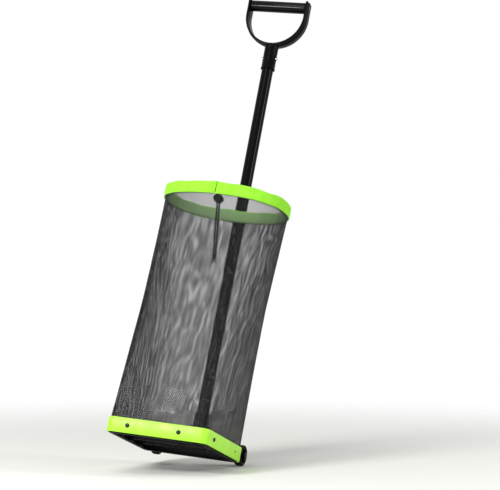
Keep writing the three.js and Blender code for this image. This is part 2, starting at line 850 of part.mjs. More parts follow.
// Pole, its bolt, and the moulded bracket that holds pole and axle to the frame's rear.
function pole() {
  const low = socketFloor + socketBase + fit;
  const outer = poleDiameter / 2;
  const inner = outer - poleWall;
  const tube = turned(
    [
      [inner, low],
      [outer, low],
      [outer, poleTop],
      [inner, poleTop],
      [inner, low],
    ],
    poleSides,
  );
  const buttonBore = rod(buttonDiameter / 2 + fit, 2 * poleDiameter, screwSides)
    .rotateY(halfTurn / 2)
    .translate(0, 0, buttonHeight);
  const boltBore = rod(poleBoltShank / 2 + fit, 2 * poleDiameter, screwSides)
    .rotateY(halfTurn / 2)
    .translate(0, 0, poleBoltHeight);
  return cut(toSolid(tube), buttonBore, boltBore);
}

function rearBracket() {
  const bore = poleDiameter / 2 + fit;
  const outer = bore + socketWall;
  const plateMiddle = plateLow + plateHeight / 2;
  const back = box(plateWidth, plateThickness, plateHeight, 0, bracketFace + plateThickness / 2, plateMiddle);
  const socket = turned(
    [
      [0, socketFloor],
      [outer, socketFloor],
      [outer, socketTop],
      [bore, socketTop],
      [bore, socketFloor + socketBase],
      [0, socketFloor + socketBase],
    ],
    poleSides,
  ).translate(0, poleY, 0);
  const ribShape = new THREE.Shape();
  ribShape.moveTo(outer - socketRibThickness, plateLow);
  ribShape.lineTo(outer + socketRibReach, plateLow);
  ribShape.lineTo(outer + socketRibReach, plateLow + plateHeight);
  ribShape.lineTo(outer - socketRibThickness / 2, plateLow + plateHeight + socketRibHeight);
  ribShape.lineTo(outer - socketRibThickness, plateLow + plateHeight);
  const ribs = [0, 1].map((turn) => {
    const rib = plate(ribShape, socketRibThickness, cornerSteps).rotateX(halfTurn / 2);
    if (turn) {
      rib.rotateZ(halfTurn).translate(0, -socketRibThickness, 0);
    }
    return rib.translate(0, bracketFace + plateThickness, 0);
  });
  const lugShape = new THREE.Shape();
  const lugLow = plateLow + plateHeight / 4;
  lugShape.moveTo(bracketFace + plateThickness / 2, lugLow);
  lugShape.lineTo(axleY, wheelRadius - axleLugRadius);
  lugShape.absarc(axleY, wheelRadius, axleLugRadius, -halfTurn / 2, halfTurn / 2, false);
  lugShape.lineTo(bracketFace + plateThickness / 2, plateLow + plateHeight);
  const lugs = [-lugOuterX, lugOuterX - axleLugThickness].map((x) =>
    plate(lugShape, axleLugThickness, cornerSteps)
      .rotateX(halfTurn / 2)
      .rotateZ(halfTurn / 2)
      .translate(x, 0, 0),
  );
  const axleBore = rod(axleDiameter / 2 + fit, 2 * plateWidth, poleSides)
    .rotateY(halfTurn / 2)
    .translate(0, axleY, wheelRadius);
  const boltBore = rod(poleBoltShank / 2 + fit, 4 * poleDiameter, screwSides)
    .rotateY(halfTurn / 2)
    .translate(0, poleY, poleBoltHeight);
  const poleBore = rod(bore, socketTop, poleSides)
    .rotateZ(halfTurn / 2)
    .translate(0, poleY, socketFloor + socketBase + socketTop / 2);
  const whole = joined(back, socket, ...ribs, ...lugs);
  return cut(whole, axleBore, boltBore, poleBore, ...fastenerHoles());
}

// A pan head and its shank: the shank runs along -Z from the face at zero.
function screw(head, headHeight, shank, length) {
  return turned(
    [
      [0, -length],
      [shank / 2, -length],
      [shank / 2, 0],
      [head / 2, 0],
      [head / 2, headHeight * headShares.shoulder],
      [(head / 2) * headShares.crownRadius, headHeight * headShares.crown],
      [0, headHeight],
    ],
    screwSides,
  );
}

function hexNut(flats, height, shank) {
  const outer = flats / Math.sqrt(3);
  const nut = new THREE.CylinderGeometry(outer, outer, height, 6).rotateX(halfTurn / 2);
  return cut(toSolid(nut), rod(shank / 2 + fit, 2 * height, screwSides));
}

// Wheels turn on a fixed steel axle, between a washer and a push-on cap.
const washerX = lugOuterX + fit;
const wheelX = washerX + washerThickness + fit;
const capX = wheelX + wheelWidth + fit;
const axleLength = 2 * (capX + capLength - capFloor - fit);

function wheelHub() {
  const rim = wheelRadius - tyreThickness - fit;
  const bore = axleDiameter / 2 + fit;
  const half = wheelWidth / 2;
  const deep = hubWeb / 2;
  const rimHalf = half - hubRim / 2;
  const profile = [
    [bore, -half],
    [hubBoss, -half],
    [hubBoss, -deep],
    [rim - hubRim, -deep],
    [rim - hubRim, -rimHalf],
    [rim, -rimHalf],
    [rim, rimHalf],
    [rim - hubRim, rimHalf],
    [rim - hubRim, deep],
    [hubBoss, deep],
    [hubBoss, half],
    [bore, half],
    [bore, -half],
  ];
  const middle = (hubBoss + rim - hubRim) / 2;
  const holes = Array.from({ length: hubHoles }, (_, i) => {
    const angle = (2 * halfTurn * (i + 0.5)) / hubHoles;
    return rod(hubHoleRadius, 2 * wheelWidth, hubHoleSides).translate(
      middle * Math.cos(angle),
      middle * Math.sin(angle),
      0,
    );
  });
  return cut(toSolid(turned(profile, wheelSides)), ...holes);
}

function wheelTyre() {
  const inner = wheelRadius - tyreThickness;
  const half = wheelWidth / 2;
  const shoulder = tyreThickness / 2;
  return turned(
    [
      [inner, -half + hubRim / 2],
      [inner + shoulder, -half],
      [wheelRadius - shoulder / 2, -half + shoulder / 4],
      [wheelRadius, -half + shoulder],
      [wheelRadius, half - shoulder],
      [wheelRadius - shoulder / 2, half - shoulder / 4],
      [inner + shoulder, half],
      [inner, half - hubRim / 2],
      [inner, -half + hubRim / 2],
    ],
    wheelSides,
  );
}

function axleCap() {
  const bore = axleDiameter / 2 + fit;
  return turned(
    [
      [bore, 0],
      [capRadius, 0],
      [capRadius, capLength * capShares.shoulder],
      [capRadius * capShares.face, capLength],
      [0, capLength],
      [0, capLength - capFloor],
      [bore, capLength - capFloor],
      [bore, 0],
    ],
    screwSides,
  );
}

function washer() {
  const bore = axleDiameter / 2 + fit;
  return turned(
    [
      [bore, 0],
      [washerRadius, 0],
      [washerRadius, washerThickness],
      [bore, washerThickness],
      [bore, 0],
    ],
    screwSides,
  );
}

// D grip: a ribbed strip bent into a D, on a sleeve that slides over the pole.
function dLoop(outer, thickness, depth, bevel) {
  const middle = yokeBottom + gripWidth / 2;
  const top = gripHeight + gripBar / 2;
  const corner = Math.min(yokeCorner, thickness - 2 * bevel);
  const shape = new THREE.Shape();
  const inner = outer - thickness;
  shape.moveTo(-outer, top - corner);
  shape.lineTo(-outer, middle);
  shape.absarc(0, middle, outer, halfTurn, 2 * halfTurn, false);
  shape.lineTo(outer, top - corner);
  shape.lineTo(outer - corner, top);
  shape.lineTo(inner, top);
  shape.lineTo(inner, middle);
  shape.absarc(0, middle, inner, 0, -halfTurn, true);
  shape.lineTo(-inner, top);
  shape.lineTo(corner - outer, top);
  const strip = new THREE.ExtrudeGeometry(shape, {
    depth: depth - 2 * bevel,
    bevelEnabled: bevel > 0,
    bevelThickness: bevel,
    bevelSize: bevel,
    bevelOffset: -bevel,
    bevelSegments: 1,
    curveSegments: yokeArc,
  });
  return strip.translate(0, 0, bevel - depth / 2).rotateX(halfTurn / 2);
}

function dYoke() {
  const stripOuter = gripWidth / 2 - yokeRib;
  const strip = dLoop(stripOuter, yokeStrip, yokeDepth, yokeEdge);
  const rib = dLoop(gripWidth / 2, yokeStrip, yokeRibWidth, 0);
  const bore = poleDiameter / 2 + fit;
  const outer = sleeveOuter / 2;
  const roof = yokeBottom + yokeStrip / 2;
  const sleeve = turned(
    [
      [bore, sleeveBottom],
      [outer + sleeveLip, sleeveBottom],
      [outer + sleeveLip, sleeveBottom + sleeveLipHeight - sleeveLip],
      [outer, sleeveBottom + sleeveLipHeight],
      [outer, roof],
      [0, roof],
      [0, roof - yokeStrip / 2],
      [bore, roof - yokeStrip / 2],
      [bore, sleeveBottom],
    ],
    poleSides,
  );
  const buttonBore = rod(buttonDiameter / 2 + fit, 2 * sleeveOuter, screwSides)
    .rotateY(halfTurn / 2)
    .translate(0, 0, buttonHeight);
  const rodBore = rod(gripRod / 2 + fit, 2 * gripWidth, screwSides)
    .rotateY(halfTurn / 2)
    .translate(0, 0, gripHeight);
  const headBores = [-1, 1].map((sign) =>
    rod(rodHead / 2 + fit, 2 * (rodHeadHeight + fit), screwSides)
      .rotateY(halfTurn / 2)
      .translate((sign * gripWidth) / 2, 0, gripHeight),
  );
  return cut(joined(strip, rib, sleeve), buttonBore, rodBore, ...headBores);
}

const armInner = gripWidth / 2 - yokeRib - yokeStrip;

function gripTube() {
  const half = armInner - fit;
  const outer = gripBar / 2;
  const bore = gripRod / 2 + fit;
  return turned(
    [
      [bore, -half],
      [outer - gripChamfer, -half],
      [outer, -half + gripChamfer],
      [outer, half - gripChamfer],
      [outer - gripChamfer, half],
      [bore, half],
      [bore, -half],
    ],
    poleSides,
  );
}

function gripRodSolid() {
  const half = gripWidth / 2;
  const neck = half - rodHeadHeight;
  return turned(
    [
      [0, -half],
      [rodHead / 2 - rodHeadHeight / 3, -half],
      [rodHead / 2, -neck - rodHeadHeight / 2],
      [rodHead / 2, -neck],
      [gripRod / 2, -neck],
      [gripRod / 2, neck],
      [rodHead / 2, neck],
      [rodHead / 2, neck + rodHeadHeight / 2],
      [rodHead / 2 - rodHeadHeight / 3, half],
      [0, half],
    ],
    screwSides,
  );
}

// Snap button: a domed pin along +Z with a flange that stays inside the pole.
function snapButton() {
  const radius = buttonDiameter / 2;
  const tip = sleeveOuter / 2 + buttonProud;
  return turned(
    [
      [0, buttonInner],
      [buttonFlange / 2, buttonInner],
      [buttonFlange / 2, buttonInner + buttonFlangeHeight],
      [radius, buttonInner + buttonFlangeHeight],
      ...domeShares.map(([across, down]) => [radius * across, tip - radius * down]),
      [0, tip],
    ],
    screwSides,
  );
}

// V-shaped spring clip behind the two buttons.
function snapClip() {
  const legX = buttonInner - fit - clipThickness / 2;
  const leg = bendShares.map(([across, up]) => new THREE.Vector2(clipBend * across, clipBend * up));
  const half = [
    ...leg,
    new THREE.Vector2(legX, clipDrop - buttonFlange / 2),
    new THREE.Vector2(legX, clipDrop + clipRise),
  ];
  const mirrored = half.map((point) => new THREE.Vector2(-point.x, point.y)).reverse();
  return plate(stripShape([...mirrored, ...half], clipThickness), clipWidth, cornerSteps)
    .translate(0, 0, -clipWidth / 2)
    .rotateX(halfTurn / 2)
    .translate(0, poleY, buttonHeight - clipDrop);
}

// Webbing loop sewn to the hem's rear and slipped round the pole.
const hemStandOff = -fit - loopThickness / 2;

function poleLoop() {
  const radius = poleDiameter / 2 + loopSlack + loopThickness / 2;
  const onHem = (x) => mouthPoint(hemStandOff, mouthAngle(x));
  const flapShares = [1, 0.5, 0];
  const points = flapShares.map((share) => onHem(-radius - loopBend - share * loopFlap));
  for (let step = 0; step <= 2 * cornerSteps; step += 1) {
    const angle = halfTurn - (halfTurn * step) / (2 * cornerSteps);
    points.push(new THREE.Vector2(radius * Math.cos(angle), poleY + radius * Math.sin(angle)));
  }
  flapShares.reverse().forEach((share) => points.push(onHem(radius + loopBend + share * loopFlap)));
  return plate(stripShape(points, loopThickness), loopHeight, cornerSteps)
    .translate(0, 0, hemBottom + (hemHeight - loopHeight) / 2);
}

// Assembly, about the frame's middle, moved so that the origin is below the middle of the whole.
const hopper = new THREE.Group();
const assembly = new THREE.Group();
assembly.position.set((leftReach - rightReach) / 2, (frontReach - rearReach) / 2, 0);
hopper.add(assembly);

addMesh(assembly, "base_frame", baseFrame(), blackMoulding);
addMesh(assembly, "lower_band", lowerBand(), greenBand);

const screwLength = frameInner;
for (const [name, x] of frontScrews) {
  const mesh = addMesh(assembly, name, screw(screwHead, screwHeadHeight, screwShank, screwLength), blackScrew);
  mesh.rotation.x = halfTurn / 2;
  mesh.position.set(x, -bandDepth / 2 - fit, bandMiddle);
}
for (const [label, sign] of sideNames) {
  const side = addMesh(
    assembly,
    `band_screw_${label}`,
    screw(screwHead, screwHeadHeight, screwShank, screwLength),
    blackScrew,
  );
  side.rotation.y = (sign * halfTurn) / 2;
  side.position.set(sign * (bandWidth / 2 + fit), sideScrewY, bandMiddle);
  const rivet = addMesh(
    assembly,
    `band_rivet_${label}`,
    screw(rivetHead, rivetHeadHeight, rivetShank, screwLength),
    blackScrew,
  );
  rivet.rotation.y = (sign * halfTurn) / 2;
  rivet.position.set(sign * (bandWidth / 2 + fit), rivetY, bandMiddle);
}

const springLength = 2 * (frameInnerHalf - lugFloor - fit);
const springRadius = (springOuter - springWire) / 2;
const springPoints = coilPoints(springLength, springTail + fit, springRadius, springCurls);
springYs.forEach((y, i) => {
  const name = `pickup_spring_${["front", "middle", "rear"][i] ?? i}`;
  const mesh = addMesh(assembly, name, wireAlong(springPoints, springWire / 2, wireSides), springSteel);
  mesh.position.set(0, y, springHeight);
});
console.log(`pick-up spring, least gap to itself ${selfGap(springPoints, springWire).toFixed(2)} mm`);

addMesh(assembly, "mesh_bag", meshBag(), blackMesh);
addMesh(assembly, "top_hem", topHem(), greenWebbing);
addMesh(assembly, "pole_loop", poleLoop(), blackCord);
addMesh(assembly, "drawcord_in_hem", drawcordInHem(), blackCord);
addMesh(assembly, "drawcord_tail_left", drawcordTail(-1), blackCord);
addMesh(assembly, "drawcord_tail_right", drawcordTail(1), blackCord);
const knotPlace = hangAt(tailSpot(tailDrop));
assembly.add(knotPlace);
addMesh(knotPlace, "drawcord_knot", drawcordKnot(), blackCord);

const lockPlace = hangAt(tailSpot(lockBelowHem));
assembly.add(lockPlace);
addMesh(lockPlace, "cord_lock_body", cordLockBody(), blackPlastic);
addMesh(lockPlace, "cord_lock_plunger", cordLockPlunger(), blackPlastic);
const lockSpringLength = plungerInner - springSeat - 2 * fit;
const lockSpringRadius = (lockSpringOuter - lockSpringWire) / 2;
const lockPoints = coilPoints(lockSpringLength, lockSpringWire, lockSpringRadius, lockSpringCurls);
const lockSpring = addMesh(
  lockPlace,
  "cord_lock_spring",
  wireAlong(lockPoints, lockSpringWire / 2, wireSides).rotateZ(halfTurn / 2),
  springSteel,
);
lockSpring.position.y = (plungerInner + springSeat) / 2;
console.log(`lock spring, least gap to itself ${selfGap(lockPoints, lockSpringWire).toFixed(2)} mm`);

const poleMesh = addMesh(assembly, "pole", pole(), blackSteel);
poleMesh.position.set(0, poleY, 0);
addMesh(assembly, "rear_bracket", rearBracket(), blackMoulding);
const socketOuter = poleDiameter / 2 + fit + socketWall;
const poleBoltReach = 2 * socketOuter + bracketNutHeight + 2 * fit;
const poleBolt = addMesh(
  assembly,
  "pole_bolt",
  screw(poleBoltHead, poleBoltHeadHeight, poleBoltShank, poleBoltReach),
  blackScrew,
);
poleBolt.rotation.y = halfTurn / 2;
poleBolt.position.set(socketOuter + fit, poleY, poleBoltHeight);
const poleNut = addMesh(assembly, "pole_nut", hexNut(bracketNut + fit, bracketNutHeight, poleBoltShank), blackScrew);
poleNut.rotation.y = halfTurn / 2;
poleNut.position.set(-socketOuter - fit - bracketNutHeight / 2, poleY, poleBoltHeight);

const bracketBoltReach = plateThickness + fit + frameInner + bracketNutHeight + 2 * fit;
bracketBoltX.forEach((x, i) => {
  const bolt = addMesh(
    assembly,
    `bracket_bolt_${i + 1}`,
    screw(bracketBoltHead, bracketBoltHeadHeight, bracketBoltShank, bracketBoltReach),
    blackScrew,
  );
  bolt.rotation.x = -halfTurn / 2;
  bolt.position.set(x, bracketFace + plateThickness + fit, bracketBoltHeight);
  const nut = addMesh(
    assembly,
    `bracket_nut_${i + 1}`,
    hexNut(bracketNut, bracketNutHeight, bracketBoltShank),
    blackScrew,
  );
  nut.rotation.x = -halfTurn / 2;
  nut.position.set(x, bandDepth / 2 - frameInner - fit - bracketNutHeight / 2, bracketBoltHeight);
});

const axle = addMesh(assembly, "axle", rod(axleDiameter / 2, axleLength, screwSides), brightSteel);
axle.rotation.y = halfTurn / 2;
axle.position.set(0, axleY, wheelRadius);
for (const [label, sign] of sideNames) {
  const wheelPlace = new THREE.Group();
  wheelPlace.position.set(0, axleY, wheelRadius);
  wheelPlace.rotation.y = (sign * halfTurn) / 2;
  assembly.add(wheelPlace);
  addMesh(wheelPlace, `axle_washer_${label}`, washer(), brightSteel).position.z = washerX;
  addMesh(wheelPlace, `wheel_hub_${label}`, wheelHub(), blackPlastic).position.z = wheelX + wheelWidth / 2;
  addMesh(wheelPlace, `wheel_tyre_${label}`, wheelTyre(), blackRubber).position.z = wheelX + wheelWidth / 2;
  addMesh(wheelPlace, `axle_cap_${label}`, axleCap(), blackPlastic).position.z = capX;
}

const gripPlace = new THREE.Group();
gripPlace.position.set(0, poleY, 0);
assembly.add(gripPlace);
addMesh(gripPlace, "d_yoke", dYoke(), blackPlastic);
const bar = addMesh(gripPlace, "grip_bar", gripTube(), blackPlastic);
bar.rotation.y = halfTurn / 2;
bar.position.z = gripHeight;
const rodMesh = addMesh(gripPlace, "grip_rod", gripRodSolid(), blackScrew);
rodMesh.rotation.y = halfTurn / 2;
rodMesh.position.z = gripHeight;
for (const [label, sign] of sideNames) {
  const button = addMesh(gripPlace, `snap_button_${label}`, snapButton(), brightSteel);
  button.rotation.y = (sign * halfTurn) / 2;
  button.position.z = buttonHeight;
}
addMesh(assembly, "snap_clip", snapClip(), springSteel);

export default hopper;
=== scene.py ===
import math
import bmesh
import bpy
import numpy as np
from mathutils import Matrix, Vector


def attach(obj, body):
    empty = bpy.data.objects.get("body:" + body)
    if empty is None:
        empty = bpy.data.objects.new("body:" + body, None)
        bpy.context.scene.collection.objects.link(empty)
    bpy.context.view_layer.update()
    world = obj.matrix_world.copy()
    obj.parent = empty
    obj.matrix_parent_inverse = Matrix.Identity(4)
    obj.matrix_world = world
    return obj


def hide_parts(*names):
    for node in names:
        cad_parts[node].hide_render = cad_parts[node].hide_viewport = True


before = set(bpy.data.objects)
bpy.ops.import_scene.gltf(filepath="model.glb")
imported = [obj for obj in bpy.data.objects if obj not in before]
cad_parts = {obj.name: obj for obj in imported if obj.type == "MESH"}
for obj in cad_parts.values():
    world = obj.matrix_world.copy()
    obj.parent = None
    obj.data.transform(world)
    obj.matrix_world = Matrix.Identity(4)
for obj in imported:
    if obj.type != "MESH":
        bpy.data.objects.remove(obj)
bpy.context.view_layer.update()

mm = 0.001
turn = 2 * math.pi
scene = bpy.context.scene
scene.view_settings.view_transform = "Standard"
base = {"x": -14.0, "y": -22.4}  # middle of the lower frame, in mm

print("stage: camera")
# The camera that was fitted to points on the photograph, as 500 by 490 pixels
cameraView = {
    "place": (1.30298, -3.29049, -0.43147),
    "right": (0.933406, 0.3112, 0.178626),
    "up": (-0.09223, -0.27301, 0.95758),
    "focalPixels": 2000,
    "widthPixels": 500,
}


def newObject(name, data):
    obj = bpy.data.objects.new(name, data)
    scene.collection.objects.link(obj)
    return obj


def makeCamera(view):
    right = Vector(view["right"]).normalized()
    back = right.cross(Vector(view["up"])).normalized()
    up = back.cross(right)
    data = bpy.data.cameras.new("camera")
    data.lens = data.sensor_width * view["focalPixels"] / view["widthPixels"]
    data.clip_end = 60
    camera = newObject("camera", data)
    turned = Matrix((right, up, back)).transposed().to_4x4()
    camera.matrix_world = Matrix.Translation(view["place"]) @ turned
    scene.camera = camera
    return right, up, back


viewRight, viewUp, viewBack = makeCamera(cameraView)

print("stage: tools")


# Mesh tools: every piece is made in place, in millimetres, and stored in metres
def makePiece(name, points, faces, sharpAngle=35, recalculate=True):
    mesh = bpy.data.meshes.new(name)
    mesh.from_pydata((np.asarray(points, float) * mm).tolist(), [], faces)
    if recalculate:
        work = bmesh.new()
        work.from_mesh(mesh)
        bmesh.ops.remove_doubles(work, verts=work.verts, dist=1e-6)
        bmesh.ops.recalc_face_normals(work, faces=work.faces)
        work.to_mesh(mesh)
        work.free()
    return shadeByAngle(newObject(name, mesh), sharpAngle)


def shadeByAngle(obj, sharpAngle):
    obj.data.shade_smooth()
    obj.data.set_sharp_from_angle(angle=math.radians(sharpAngle))
    return obj


def skinned(rings, closed=False, capped=True):
    # sides between equal loops of points, and a cap at each end unless the row of loops closes
    n, count = len(rings[0]), len(rings)
    faces = []
    for k in range(count if closed else count - 1):
        low, high = k * n, (k + 1) % count * n
        faces += [(low + i, low + (i + 1) % n, high + (i + 1) % n, high + i) for i in range(n)]
    if capped and not closed:
        faces += [tuple(range(n))[::-1], tuple(range((count - 1) * n, count * n))]
    return np.vstack(rings), faces


def moved(points, matrix):
    m = np.array(matrix, float)
    return points @ m[:3, :3].T + m[:3, 3]


def axes(x, y, z, place):
    m = np.eye(4)
    m[:3, 0], m[:3, 1], m[:3, 2], m[:3, 3] = x, y, z, place
    return m


def alongX(place, sign=1):  # local Z runs along X
    return axes((0, 0, -sign), (0, 1, 0), (sign, 0, 0), place)


def upright(place):
    return axes((1, 0, 0), (0, 1, 0), (0, 0, 1), place)


def onBase(across, back, high):
    # a place from the middle of the lower frame
    return base["x"] + across, base["y"] + back, high


def turnedShape(profile, segments, at=np.eye(4)):
    # profile: (radius, height) from axis to axis, or a closed outline round a bore
    closed = profile[0] == profile[-1]
    angles = np.arange(segments) * turn / segments
    rings = []
    for radius, height in profile[:-1] if closed else profile:
        rings.append(np.c_[radius * np.cos(angles), radius * np.sin(angles), np.full(segments, height)])
    points, faces = skinned(rings, closed, capped=False)
    return moved(points, at), faces


def turnedPiece(name, profile, segments, at=np.eye(4), sharpAngle=40):
    return makePiece(name, *turnedShape(profile, segments, at), sharpAngle=sharpAngle)


def looped(profile):
    return profile + profile[:1]


def mirrored(half):
    # half a profile, from its middle to its upper end, after its mirror image
    return [(radius, -height) for radius, height in reversed(half)] + half


def plug(radius, low, high, segments, at):
    return turnedShape([(0, low), (radius, low), (radius, high), (0, high)], segments, at)


def prismShape(outline, low, high, at):
    # outline in local X and Y, from low to high along local Z
    points, faces = skinned([[(x, y, z) for x, y in outline] for z in (low, high)])
    return moved(points, at), faces


def blockShape(low, high):
    (x0, y0, z0), (x1, y1, z1) = low, high
    return prismShape([(x0, y0), (x1, y0), (x1, y1), (x0, y1)], z0, z1, np.eye(4))


def gathered(*shapes):
    points, faces, start = [], [], 0
    for some, sides in shapes:
        points.append(some)
        faces += [tuple(i + start for i in f) for f in sides]
        start += len(some)
    return np.vstack(points), faces


def evaluated(obj):
    # the object's mesh with its modifiers, as its own plain mesh
    graph = bpy.context.evaluated_depsgraph_get()
    mesh = bpy.data.meshes.new_from_object(obj.evaluated_get(graph), depsgraph=graph)
    obj.modifiers.clear()
    old = obj.data
    obj.data = mesh
    mesh.name = obj.name
    bpy.data.meshes.remove(old)
    return obj


def carved(obj, *shapes, sharpAngle=40):
    cutter = makePiece("cutter", *gathered(*shapes))
    modifier = obj.modifiers.new("cut", "BOOLEAN")
    modifier.operation = "DIFFERENCE"
    modifier.solver = "EXACT"
    modifier.object = cutter
    evaluated(obj)
    bpy.data.objects.remove(cutter)
    return shadeByAngle(obj, sharpAngle)


def beveled(obj, width, segments=2, angle=40):
    modifier = obj.modifiers.new("edge", "BEVEL")
    modifier.width = width * mm
    modifier.segments = segments
    modifier.limit_method = "ANGLE"
    modifier.angle_limit = math.radians(angle)
    return shadeByAngle(evaluated(obj), angle)


def joinedTo(whole, others):
    # the others' meshes go into the first object
    work = bmesh.new()
    for obj in (whole, *others):
        work.from_mesh(obj.data)
    work.to_mesh(whole.data)
    work.free()
    for obj in others:
        bpy.data.objects.remove(obj)
    return whole


def dress(obj, slot, material, *nodes, body="hopper"):
    obj.data.materials.clear()
    obj.data.materials.append(material)
    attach(obj, body)
    if nodes:
        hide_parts(*nodes)
    return obj


# Line tools
def walked(points):
    # the length along a line up to each of its points
    return np.r_[0, np.cumsum(np.linalg.norm(np.diff(points, axis=0), axis=1))]


def evenly(points, count):
    steps = walked(points)
    wanted = np.linspace(0, steps[-1], count)
    return np.stack([np.interp(wanted, steps, points[:, k]) for k in range(3)], axis=1)


def unit(vectors):
    return vectors / np.linalg.norm(vectors, axis=-1)[..., None]


def lineObject(name, points, closed=True):
    mesh = bpy.data.meshes.new(name)
    count = len(points)
    edges = [(i, (i + 1) % count) for i in range(count if closed else count - 1)]
    mesh.from_pydata((np.asarray(points, float) * mm).tolist(), edges, [])
    return newObject(name, mesh)


# Node tools
def wired(tree, node, inputs):
    # each input gets a value, a socket, or the first socket of a node
    for key, value in inputs.items():
        if isinstance(value, bpy.types.Node):
            value = value.outputs[0]
        if isinstance(value, bpy.types.NodeSocket):
            tree.links.new(value, node.inputs[key])
        else:
            node.inputs[key].default_value = value
    return node


def addNode(tree, kind, inputs=None, **settings):
    node = tree.nodes.new(kind)
    for name, value in settings.items():
        setattr(node, name, value)
    return wired(tree, node, inputs or {})


def maths(tree, operation, *values):
    return addNode(tree, "ShaderNodeMath", dict(enumerate(values)), operation=operation).outputs[0]


def linear(code):
    # an sRGB colour such as "#9dff3c" as linear light
    parts = [int(code[i : i + 2], 16) / 255 for i in (1, 3, 5)]
    return tuple(c / 12.92 if c <= 0.04045 else ((c + 0.055) / 1.055) ** 2.4 for c in parts) + (1,)


def newMaterial(name, roughness, shine, metallic=0.0):
    material = bpy.data.materials.new(name)
    material.use_nodes = True
    tree = material.node_tree
    shader = next(n for n in tree.nodes if n.type == "BSDF_PRINCIPLED")
    even = {"Roughness": roughness, "Metallic": metallic, "IOR": 1.5, "Specular IOR Level": shine}
    return material, tree, wired(tree, shader, even)


def noiseAt(tree, size, detail=3, stretch=(1, 1, 1)):
    # noise whose blobs are about size mm across
    where = addNode(tree, "ShaderNodeTexCoord").outputs["Object"]
    scaled = addNode(tree, "ShaderNodeMapping", {"Vector": where, "Scale": stretch})
    settings = {"Vector": scaled, "Scale": 1 / (size * mm), "Detail": detail}
    return addNode(tree, "ShaderNodeTexNoise", settings).outputs[0]


def paintedGlintsAt(tree, spacing, share):
    # small round spots about spacing mm apart: painted highlights in the colour, standing in for filaments
    # turned towards the light
    where = addNode(tree, "ShaderNodeTexCoord").outputs["Object"]
    settings = {"Vector": where, "Scale": 1 / (spacing * mm), "Randomness": 0.8}
    away = addNode(tree, "ShaderNodeTexVoronoi", settings).outputs["Distance"]
    return ranged(tree, away, 1, 0, share * 0.7, share)


def ranged(tree, value, low, high, fromLow=0.3, fromHigh=0.7):
    settings = {"Value": value, "From Min": fromLow, "From Max": fromHigh, "To Min": low, "To Max": high}
    return addNode(tree, "ShaderNodeMapRange", settings).outputs["Result"]


def colorBetween(tree, factor, first, second):
    # first and second: a colour's code or a socket
    a, b = (linear(c) if isinstance(c, str) else c for c in (first, second))
    mixed = addNode(tree, "ShaderNodeMix", {"Factor": factor, "A": a, "B": b}, data_type="RGBA")
    return mixed.outputs["Result"]


def dressShader(tree, shader, color, height, depth, **others):
    # a colour, and a bump whose height from 0 to 1 stands for depth mm
    bump = addNode(tree, "ShaderNodeBump", {"Height": height, "Distance": depth * mm})
    wired(tree, shader, {"Base Color": color, "Normal": bump, **others})


def newTree(name, kinds):
    # a Geometry Nodes tree with named inputs, the last of them its material, and their sockets
    tree = bpy.data.node_groups.new(name, "GeometryNodeTree")
    for label, kind in (kinds | {"Material": "Material"}).items():
        tree.interface.new_socket(name=label, in_out="INPUT", socket_type=f"NodeSocket{kind}")
    tree.interface.new_socket(name="Result", in_out="OUTPUT", socket_type="NodeSocketGeometry")
    return tree, addNode(tree, "NodeGroupInput").outputs


def finishedTree(tree, given, geometry):
    # ends a tree: real geometry with its material
    real = addNode(tree, "GeometryNodeRealizeInstances", {"Geometry": geometry})
    dressed = {"Geometry": real, "Material": given["Material"]}
    addNode(tree, "NodeGroupOutput", {0: addNode(tree, "GeometryNodeSetMaterial", dressed)})
    return tree


def withTree(obj, tree, values):
    modifier = obj.modifiers.new("pattern", "NODES")
    modifier.node_group = tree
    for socket in tree.interface.items_tree:
        if socket.name in values:
            modifier[socket.identifier] = values[socket.name]
    return evaluated(obj)


print("stage: cords")
# Drawcord tails: the route's points as the part has them, in mm
cordSizes = {
    "diameter": 3.2, "radius": 1.72, "length": 0.132, "lobes": 3, "twistPitch": 7.5, "sides": 18,
    "ringStep": 0.55,
}
cordTwist = (cordSizes["lobes"], cordSizes["twistPitch"])
tailRoutes = {
    "left": [
        (3.868, -115.283, 462.9), (6.24, -114.828, 462.46), (8.136, -112.404, 460.26),
        (9.378, -105.927, 456.3), (9.768, -101.071, 451.741), (10.019, -100.686, 448.428),
        (10.27, -100.301, 445.115), (12.278, -97.222, 418.611), (15.206, -92.733, 379.96),
        (18.134, -88.243, 341.308),
    ],
    "right": [
        (19.829, -114.548, 462.9), (17.47, -114.319, 462.46), (15.583, -112.07, 460.26),
        (14.343, -105.705, 456.3), (13.956, -101.071, 452.059), (14.207, -100.686, 448.746),
        (14.458, -100.301, 445.433), (16.466, -97.222, 418.929), (19.394, -92.733, 380.277),
        (22.322, -88.243, 341.625),
    ],
}
hangAcross = np.array((0.997143, 0.0, 0.075541))  # the hanging lock's own directions
hangIn = np.array((-0.008692, 0.993358, 0.114732))
hangUp = np.array((-0.075039, -0.11506, 0.99052))
lockPlace = (12.763, -99.688, 440)
knotPlace = (20.491, -87.84, 338)


def smoothRoute(controls, count):
    # a smooth line through the points, sampled evenly
    def between(t, low, high, a, b):
        return ((high - t) * a + (t - low) * b) / (high - low)

    p = np.array(controls, float)
    p = np.vstack([2 * p[0] - p[1], p, 2 * p[-1] - p[-2]])
    fine = []
    for i in range(1, len(p) - 2):
        knots = [0.0]
        for k in range(3):
            knots.append(knots[-1] + np.linalg.norm(p[i + k] - p[i + k - 1]) ** 0.5)
        for t in np.linspace(knots[1], knots[2], 40, endpoint=False):
            a = [between(t, knots[k], knots[k + 1], p[i + k - 1], p[i + k]) for k in range(3)]
            b = [between(t, knots[k], knots[k + 2], a[k], a[k + 1]) for k in range(2)]
            fine.append(between(t, knots[1], knots[2], *b))
    fine.append(p[-2])
    return evenly(np.array(fine), count)


